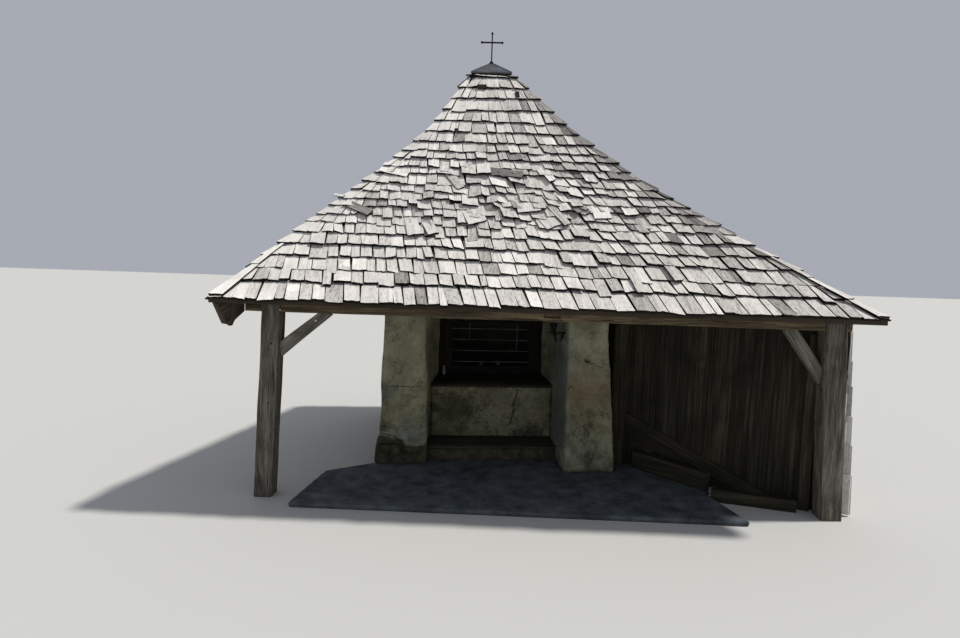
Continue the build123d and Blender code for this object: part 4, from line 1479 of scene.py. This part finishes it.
@dataclass
class SideWall:
    """The oblique boarded wall between the masonry and the right post.

    Attributes:
        start: Plan place of the rear post.
        turn: Direction of the wall in degrees.
        face: How far the boards' inner side is from the post's centre line.
        low: Height of the boards' feet.
        high: Height of their heads.
        begin: Where the boards begin along the wall.
        run: Where they end.
        thickness: Thickness of a board.
        feet: Heights of the feet of the cladding's courses, and of its head.
        on_edge: How much higher the floor board stands than in the frame.
        board_widths: Least and greatest width of a board.
        clad_widths: Least, greatest and usual width of a shingle of the cladding.
        clad_lap: How far a course runs up under the next.
        clad_off: How far the cladding's inner side is from the boards' inner side.
        dice: The seeded dice of the boards and the cladding.
    """

    start: Pair = (1.5, 0.33)
    turn: float = -35.414
    face: float = 0.070
    low: float = 0.004
    high: float = 1.82
    begin: float = -0.30
    run: float = 2.36
    thickness: float = 0.024
    feet: tuple[float, ...] = (0.012, 0.36, 0.66, 0.95, 1.25, 1.50, 1.86)
    on_edge: float = 0.055
    board_widths: Pair = (0.16, 0.26)
    clad_widths: Triple = (0.09, 0.20, 0.13)
    clad_lap: float = 0.07
    clad_off: float = 0.050
    dice: random.Random = field(default_factory=lambda: random.Random(7))

    def place(self) -> Matrix:
        """Return the wall's own frame: X along it, Y outwards, Z up."""
        return Matrix.Translation((*self.start, 0)) @ Matrix.Rotation(math.radians(self.turn), 4, "Z")

    def along(self) -> Vector:
        """Return the direction of the wall."""
        return self.place().to_3x3() @ Vector((1, 0, 0))

    def trim_at_pier(self, shape: Shape) -> None:
        """Cut the wall's end to the leaning outer face of the right pier."""
        turn = masonry_place(3)
        saw(shape, turn @ Vector((1.426, 0, 0)), turn @ Vector((-1, 0, -0.15 / 1.88)), cut_off=True)

    def start_sheet(self) -> Shape:
        """Return an empty mesh that can hold the boards' tone and grain.

        Returns:
            The mesh.
        """
        shape = bmesh.new()
        shape.faces.layers.float.new("tone")
        shape.loops.layers.uv.verify()
        return shape

    def figure(self, shape: Shape, made: Iterable[bmesh.types.BMVert], tone: float) -> None:
        """Give one board its tone and a grain that runs up it.

        Args:
            shape: The mesh that it belongs to.
            made: Its vertices.
            tone: How dark it is, 0 to 1.
        """
        faces = list({face for vert in made for face in vert.link_faces})
        set_tone(shape, faces, tone)
        layer = shape.loops.layers.uv.verify()
        along, seed = self.along(), self.dice.uniform(0, 30)
        for face in faces:
            for loop in face.loops:
                loop[layer].uv = (loop.vert.co.dot(along) + seed, loop.vert.co.z + seed * 2)

    def boards(self) -> None:
        """Build the upright boards."""
        shape = self.start_sheet()
        at = self.begin
        while at < self.run - 0.05:
            width = min(self.dice.uniform(*self.board_widths), self.run - at)
            bow = self.dice.uniform(0, 0.003)
            gap = self.dice.uniform(0.0015, 0.004)
            size = Matrix.Diagonal((width - gap, self.thickness, self.high - self.low, 1))
            centre = Matrix.Translation((at + width / 2, self.face + self.thickness / 2 + bow,
                                         (self.high + self.low) / 2))
            made = bmesh.ops.create_cube(shape, size=1.0, matrix=self.place() @ centre @ size)["verts"]
            self.figure(shape, made, self.dice.uniform(0.0, 0.9))
            at += width
        soften(shape, [e for e in shape.edges if e.is_manifold], 0.002, 1)
        self.trim_at_pier(shape)
        piece("upright_boards", shape, BOARD_WOOD, ["side_wall_boards"])

    def cladding(self) -> None:
        """Build the shingle courses on the outer side, ending beyond the right post."""
        shape = self.start_sheet()
        wall, face = self.place(), self.face + self.clad_off
        for foot, next_foot in zip(self.feet, self.feet[1:]):
            head = min(next_foot + self.clad_lap, self.feet[-1])
            at = self.begin + self.dice.uniform(-0.1, 0)
            while at < self.run + 0.30:
                width = self.dice.triangular(*self.clad_widths)
                left, right = max(at, self.begin), at + width - 0.004
                at += width
                if right - left < 0.02:
                    continue
                drop = self.dice.gauss(0, 0.006)
                lean = self.dice.uniform(0, 0.006)
                made = bmesh.ops.create_cube(shape, size=1.0)["verts"]
                for vert in made:
                    upper, outer = vert.co.z > 0, vert.co.y > 0
                    out = face + (0.002 if upper else 0.022 + lean)
                    if outer:
                        out += 0.006 if upper else 0.016
                    along, height = left if vert.co.x < 0 else right, head if upper else foot + drop
                    vert.co = wall @ Vector((along, out, height))
                self.figure(shape, made, clamp(self.dice.gauss(0.30, 0.18)))
        saw(shape, Vector((3.606, -0.92, 0)), Vector((1, 0, 0.0548)), cut_off=True)
        self.trim_at_pier(shape)
        piece("wall_shingles", shape, SHINGLE_WOOD, ["side_wall_cladding"])

    def deepen(self, shape: Shape) -> None:
        """Set the floor board on its edge.

        Args:
            shape: The mesh to change.
        """
        middle = sum(v.co.z for v in shape.verts) / len(shape.verts)
        for vert in shape.verts:
            if vert.co.z > middle:
                vert.co.z += self.on_edge

    def build(self, yard: TimberYard) -> None:
        """Build the wall and the loose timbers beside it.

        Args:
            yard: What makes the timbers.
        """
        self.boards()
        self.cladding()
        along = self.along()
        slant = along * math.cos(math.radians(20)) - UP * math.sin(math.radians(20))
        yard.timber("wall_stud", "side_wall_stud", UP, BOARD_WOOD)
        yard.timber("wall_rail", "side_wall_rail", along, BOARD_WOOD)
        yard.timber("leaning_plank", "diagonal_plank", slant, BOARD_WOOD, wander=0.002)
        yard.timber("floor_beam", "kick_beam", Vector((0.636, -0.771, 0)), BOARD_WOOD)
        yard.timber("floor_board", "threshold_board", Vector((0.963, -0.27, 0)), BOARD_WOOD,
                    shaped=self.deepen)
        dress("side_wall_battens", SHADOW_WOOD)


@dataclass(frozen=True)
class PorchFrame:
    """The posts, beams, plates and braces.

    Attributes:
        yard: What makes the timbers.
        beam_under: Height of the beam's underside.
        lap: How far the posts stand up in front of the beam's ends.
        housings: Left and right side of each post where it laps over the beam.
        tail: Outline of the front left hip rafter's tail, clockwise from its upper front corner.
        tail_width: Thickness of the tail.
        brace_growth: How much wider the braces are than in the frame.
        nails: Piece each newer nail is driven into, and its place across and up; their heads carry a painted
            reflection of the sky.
        old_nails: The same for the old, dark nails.
        nail_radius: Radius of a nail head.
    """

    yard: TimberYard
    beam_under: float = 1.88
    lap: float = 0.13
    housings: tuple[Pair, ...] = ((-2.309, -2.125), (3.151, 3.355))
    tail: tuple[Triple, ...] = ((-2.622, -1.421, 1.972), (-2.440, -1.213, 1.972),
                                                    (-2.440, -1.213, 1.886), (-2.540, -1.326, 1.758),
                                                    (-2.562, -1.352, 1.766))
    tail_width: float = 0.112
    brace_growth: float = 1.45
    nails: tuple[tuple[str, float, float], ...] = (("weathered_left_post", -2.132, 1.902),
                                                   ("weathered_left_brace", -1.792, 1.800))
    old_nails: tuple[tuple[str, float, float], ...] = (("weathered_left_post", -2.243, 0.969),
                                                       ("weathered_left_post", -2.215, 1.563),
                                                       ("weathered_left_post", -2.160, 1.300))
    nail_radius: float = 0.010

    def lengthen(self, shape: Shape) -> None:
        """Let a post run up in front of the beam.

        Args:
            shape: The mesh to change.
        """
        for vert in shape.verts:
            if vert.co.z > self.beam_under - 0.02:
                vert.co.z += self.lap
                vert.co.y -= 0.004

    def house(self, shape: Shape) -> None:
        """Cut the beam away where the posts lap over it.

        Args:
            shape: The mesh to change.
        """
        for left, right in self.housings:
            for place in (left, right):
                saw(shape, Vector((place, 0, 0)), Vector((1, 0, 0)))
            inside = [f for f in shape.faces if left < f.calc_center_median().x < right]
            bmesh.ops.delete(shape, geom=inside, context="FACES")
        bmesh.ops.holes_fill(shape, edges=[e for e in shape.edges if e.is_boundary], sides=40)

    def widen(self, axis: Vector) -> Callable[[Shape], None]:
        """Return what makes a brace wider across its axis, in the plane of the posts.

        Args:
            axis: Direction of the brace.

        Returns:
            What widens a mesh.
        """
        def shaped(shape: Shape) -> None:
            """Move each vertex away from the brace's middle line.

            Args:
                shape: The mesh to change.
            """
            middle = sum((v.co for v in shape.verts), Vector()) / len(shape.verts)
            across = axis.cross(Vector((0, 1, 0))).normalized()
            for vert in shape.verts:
                vert.co += across * (vert.co - middle).dot(across) * (self.brace_growth - 1)
        return shaped

    def nail_heads(self, name: str, nails: Iterable[tuple[str, float, float]], finish: Any) -> None:
        """Drive nails into the faces that look to the front.

        Args:
            name: Name of the piece.
            nails: Piece each nail is driven into, and its place across and up.
            finish: Its finish.
        """
        shape = bmesh.new()
        for wood, across, height in nails:
            mesh = bpy.data.objects[wood].data
            tree = BVHTree.FromPolygons([v.co for v in mesh.vertices], [p.vertices for p in mesh.polygons])
            spot = tree.ray_cast(Vector((across, -3, height)), Vector((0, 1, 0)))[0]
            if spot is None:
                LOG.warning("no wood under a nail at %.3f, %.3f", across, height)
                continue
            bmesh.ops.create_uvsphere(shape, u_segments=12, v_segments=6, radius=self.nail_radius,
                                      matrix=Matrix.Translation(spot) @ Matrix.Diagonal((1, 0.5, 1, 1)))
        piece(name, shape, finish, smooth=True)

    def hip_tail(self) -> None:
        """Build the sawn tail of the front left hip rafter."""
        shape = bmesh.new()
        shape.faces.new([shape.verts.new(point) for point in self.tail])
        thicken(shape, Vector((-0.754, 0.657, 0)) * self.tail_width)
        soften(shape, shape.edges, 0.007)
        set_tone(shape, shape.faces, 0.5)
        lay_grain(shape, Vector((0.55, 0.63, 0.55)), 4.0)
        piece("hip_rafter_tail", shape, SHADOW_WOOD, smooth=True)

    def build(self) -> None:
        """Build every timber of the porch."""
        for side in ("left", "right"):
            self.yard.timber(f"weathered_{side}_post", f"{side}_post", UP, POST_WOOD, wander=0.006,
                             shaped=self.lengthen)
        self.yard.timber("weathered_rear_post", "rear_post", UP, REAR_WOOD)
        self.yard.timber("weathered_front_beam", "front_beam", Vector((1, 0, 0)), BEAM_WOOD, wander=0.005,
                         shaped=self.house)
        self.yard.timber("weathered_middle_beam", "middle_beam", Vector((0.9925, 0.122, 0)), BEAM_WOOD)
        for side, axis in (("left", Vector((0.74, 0, 0.67))), ("right", Vector((-0.546, 0, 0.838)))):
            self.yard.timber(f"weathered_{side}_brace", f"{side}_brace", axis, BRACE_WOOD,
                             shaped=self.widen(axis))
        self.hip_tail()
        # The newer nails get a near-white painted reflection of the sky.
        self.nail_heads("nail_heads", self.nails, NAIL_PAINTED_REFLECTION)
        self.nail_heads("old_nail_heads", self.old_nails, BLACK_IRON)
        for node in ("rear_beam", "left_plate", "right_plate", "chamber_ceiling"):
            dress(node, SHADOW_WOOD)


@dataclass
class Niche:
    """The sill, the barred window and the things on the ledge behind it.

    Attributes:
        bar_heights: Heights of the window's level bars.
        uprights: Place across, foot and head of each upright bar.
        bar_radius: Radius of a bar.
        left: Left end of the opening in the frame.
        right: Right end of it.
        plane: Place of the bars along the masonry.
        ledge: Height of the ledge behind the window.
        middle: Place along the masonry of what stands on the ledge.
        vase: Radius and height of a vase's outline, from the foot up and back down inside.
    """

    bar_heights: tuple[float, ...] = (1.092, 1.240, 1.388, 1.535)
    uprights: tuple[Triple, ...] = ((-0.215, 1.38, 1.63), (0.426, 1.24, 1.63))
    bar_radius: float = 0.005
    left: float = -0.445
    right: float = 0.590
    plane: float = 1.205
    ledge: float = 0.955
    middle: float = 1.38
    vase: tuple[Pair, ...] = ((0, 0), (0.024, 0), (0.026, 0.004), (0.034, 0.035), (0.030, 0.062),
                                             (0.017, 0.085), (0.022, 0.100), (0.019, 0.100), (0.014, 0.085),
                                             (0.026, 0.060), (0.030, 0.035), (0.0, 0.006))

    def bars(self) -> None:
        """Build the window's bars."""
        shape = bmesh.new()
        for height in self.bar_heights:
            spot = Matrix.Translation(((self.left + self.right) / 2, self.plane, height))
            rod(shape, masonry_place() @ spot @ Matrix.Rotation(math.pi / 2, 4, "Y"), self.bar_radius,
                self.right - self.left + 0.04)
        for across, low, high in self.uprights:
            spot = Matrix.Translation((across, self.plane + self.bar_radius * 2, (low + high) / 2))
            rod(shape, masonry_place() @ spot, self.bar_radius * 0.8, high - low)
        piece("window_bars", shape, GREY_IRON)

    def turned(self, name: str, foot: Triple, wide: float = 1.0, tall: float = 1.0) -> None:
        """Turn a vase.

        Args:
            name: Name of the piece.
            foot: Where it stands, across, along and up in the masonry's own plan.
            wide: Its width against the plain vase.
            tall: Its height against the plain vase.
        """
        shape = bmesh.new()
        verts = [shape.verts.new((max(radius * wide, 0.0002), 0, height * tall))
                 for radius, height in self.vase]
        edges = [shape.edges.new(pair) for pair in zip(verts, verts[1:])]
        bmesh.ops.spin(shape, geom=[*verts, *edges], cent=(0, 0, 0), axis=(0, 0, 1), dvec=(0, 0, 0),
                       angle=math.tau, steps=24, use_merge=True, use_duplicate=False)
        bmesh.ops.remove_doubles(shape, verts=shape.verts, dist=0.0003)
        bmesh.ops.recalc_face_normals(shape, faces=shape.faces)
        bmesh.ops.transform(shape, matrix=masonry_place() @ Matrix.Translation(foot), verts=shape.verts)
        piece(name, shape, WHITEWASH, smooth=True)

    def altar(self) -> None:
        """Set the plain cross, the runner and the vases on the ledge."""
        cross = bmesh.new()
        foot = masonry_place() @ Matrix.Translation((0.088, self.middle, self.ledge))
        for size, height in (((0.10, 0.06, 0.022), 0.011), ((0.016, 0.012, 0.23), 0.13),
                             ((0.085, 0.012, 0.016), 0.185)):
            place = foot @ Matrix.Translation((0, 0, height)) @ Matrix.Diagonal((*size, 1))
            made = bmesh.ops.create_cube(cross, size=1.0, matrix=place)["verts"]
            soften(cross, {e for v in made for e in v.link_edges}, 0.003)
        piece("altar_cross", cross, NICHE_WOOD)
        runner = bmesh.new()
        spread = Matrix.Diagonal((0.36, 0.16, 1, 1))
        place = masonry_place() @ Matrix.Translation((0.07, self.middle, self.ledge + 0.002)) @ spread
        bmesh.ops.create_grid(runner, x_segments=12, y_segments=4, size=0.5, matrix=place)
        for vert in runner.verts:
            vert.co.z += 0.0015 * noise.noise(vert.co * 25)
        thicken(runner, Vector((0, 0, 0.003)))
        piece("altar_runner", runner, WHITEWASH)
        self.turned("left_vase", (-0.03, self.middle, self.ledge))
        self.turned("right_vase", (0.20, self.middle, self.ledge))
        self.turned("sill_vase", (-0.552, 1.075, 0.921), 0.75, 1.3)

    def build(self, yard: TimberYard) -> None:
        """Build the niche's joinery, its bars and the things behind them.

        Args:
            yard: What makes the timbers.
        """
        across = masonry_place(3) @ Vector((1, 0, 0))
        yard.timber("worn_sill", "window_sill", across, BOARD_WOOD, Slot.DARK_WOOD, 0.002)
        yard.timber("worn_kneeler_plank", "kneeler_plank", across, REAR_WOOD, wander=0.003)
        yard.timber("worn_window_frame", "window_frame", UP, NICHE_WOOD, Slot.DARK_WOOD, 0.0)
        self.bars()
        self.altar()


@dataclass
class Crown:
    """The sheet-metal cap with its cross, and the wall lamp.

    Attributes:
        rim: Height of the cap's rim.
        rise: How much steeper the sheets stand than the plain frame.
        spread: How wide it is against the plain frame.
        roll: Radius of the rolled seams on the hips.
    """

    rim: float = 4.879
    rise: float = 1.12
    spread: float = 0.97
    roll: float = 0.007

    def cap(self) -> None:
        """Build the sheet cap with rolled hips and a folded rim."""
        plain = copy_of("roof_cap")
        points = [v.co.copy() for v in plain.verts]
        plain.free()
        middle = sum(points, Vector()) / len(points)
        shape = bmesh.new()
        for point in points:
            point.x = middle.x + (point.x - middle.x) * self.spread
            if point.z > self.rim + 0.01:
                point.z = self.rim + (point.z - self.rim) * self.rise
            shape.verts.new(point)
        bmesh.ops.convex_hull(shape, input=shape.verts)
        bmesh.ops.dissolve_limit(shape, angle_limit=0.02, verts=shape.verts, edges=shape.edges)
        sharp = [e for e in shape.edges if e.calc_face_angle(0) > 0.25]
        seams = [tuple(v.co.copy() for v in e.verts) for e in sharp
                 if abs(e.verts[0].co.z - e.verts[1].co.z) > 0.05]
        seams += [tuple(v.co.copy() for v in e.verts) for e in shape.edges
                  if max(v.co.z for v in e.verts) < self.rim - 0.005]
        soften(shape, sharp, 0.003, clamped=True)
        for start, end in seams:
            way = end - start
            turn = way.to_track_quat("Z", "Y").to_matrix().to_4x4()
            rod(shape, Matrix.Translation((start + end) / 2) @ turn, self.roll, way.length)
        piece("sheet_cap", shape, CAP_METAL, ["roof_cap"])

    def build(self) -> None:
        """Build the cap and dress the cross and the lamp."""
        self.cap()
        dress("roof_cross", BLACK_IRON)
        dress("lamp_bracket", BLACK_IRON)
        dress("lamp_jar", JarGlass())


@dataclass
class Studio:
    """The pale floor, the lights and the camera.

    Attributes:
        eye: Place of the camera.
        pitch: How far it looks down, in degrees.
        yaw: How far it looks to the right.
        roll: How far the picture leans clockwise.
        focal: Focal length in photograph pixels.
        width: Width of the photograph in pixels.
        floor_size: Half the side of the floor, in metres.
        floor_colour: Colour of the floor.
        sky: Strength of the world's light.
        sky_colour: Its colour.
        sun: Strength of the lamp.
        sun_size: How wide it looks, in degrees.
        sun_colour: Its colour.
        sun_way: The way its light goes.
    """

    eye: Triple = (-0.007, -7.312, 2.450)
    pitch: float = 5.27
    yaw: float = -1.5
    roll: float = 1.85
    focal: float = 640.0
    width: float = 960.0
    floor_size: float = 60.0
    floor_colour: Colour = shade(190, 190, 187)
    sky: float = 0.45
    sky_colour: Colour = (0.86, 0.90, 1.0, 1)
    sun: float = 3.3
    sun_size: float = 4.0
    sun_colour: Triple = (1.0, 0.97, 0.92)
    sun_way: Triple = (-0.50, -0.06, -0.83)

    def camera(self) -> None:
        """Make the camera at the photograph's place."""
        data = bpy.data.cameras.new("camera")
        data.sensor_width = 36.0
        data.lens = self.focal / self.width * data.sensor_width
        data.clip_end = 200.0
        camera = show("camera", data)
        pitch, yaw, roll = (math.radians(a) for a in (self.pitch, self.yaw, self.roll))
        ahead = Vector((math.sin(yaw) * math.cos(pitch), math.cos(yaw) * math.cos(pitch), -math.sin(pitch)))
        level = Vector((math.cos(yaw), -math.sin(yaw), 0.0))
        down = ahead.cross(level)
        right = level * math.cos(roll) - down * math.sin(roll)
        under = down * math.cos(roll) + level * math.sin(roll)
        turn = Matrix((right, -under, -ahead)).transposed().to_4x4()
        camera.matrix_world = Matrix.Translation(self.eye) @ turn
        bpy.context.scene.camera = camera

    def floor(self) -> None:
        """Lay the plain pale floor."""
        shape = bmesh.new()
        bmesh.ops.create_grid(shape, x_segments=1, y_segments=1, size=self.floor_size)
        mesh = bpy.data.meshes.new("studio_floor")
        shape.to_mesh(mesh)
        shape.free()
        mesh.materials.append(Recipe("studio_floor").finish(self.floor_colour, 0.9))
        show("studio_floor", mesh)

    def lights(self) -> None:
        """Hang the one lamp high on the right and fill the shade from the world."""
        world = bpy.data.worlds.new("studio")
        bpy.context.scene.world = world
        world.use_nodes = True
        background = world.node_tree.nodes["Background"]
        background.inputs["Color"].default_value = self.sky_colour
        background.inputs["Strength"].default_value = self.sky
        data = bpy.data.lights.new("key", "SUN")
        data.energy = self.sun
        data.angle = math.radians(self.sun_size)
        data.color = self.sun_colour
        show("key", data).rotation_euler = Vector(self.sun_way).to_track_quat("-Z", "Y").to_euler()

    def build(self) -> None:
        """Set up the studio."""
        self.camera()
        self.floor()
        self.lights()
        bpy.context.scene.view_settings.view_transform = "Standard"


def main() -> None:
    """Build the chapel's looks."""
    logging.basicConfig(level=logging.INFO, format="%(name)s: %(message)s")
    noise.seed_set(NOISE_SEED)
    Studio().build()
    yard = TimberYard()
    ShingleRoof().build()
    Masonry().build()
    PorchFrame(yard).build()
    SideWall().build(yard)
    Niche().build(yard)
    Crown().build()


if __name__ == "__main__":
    main()
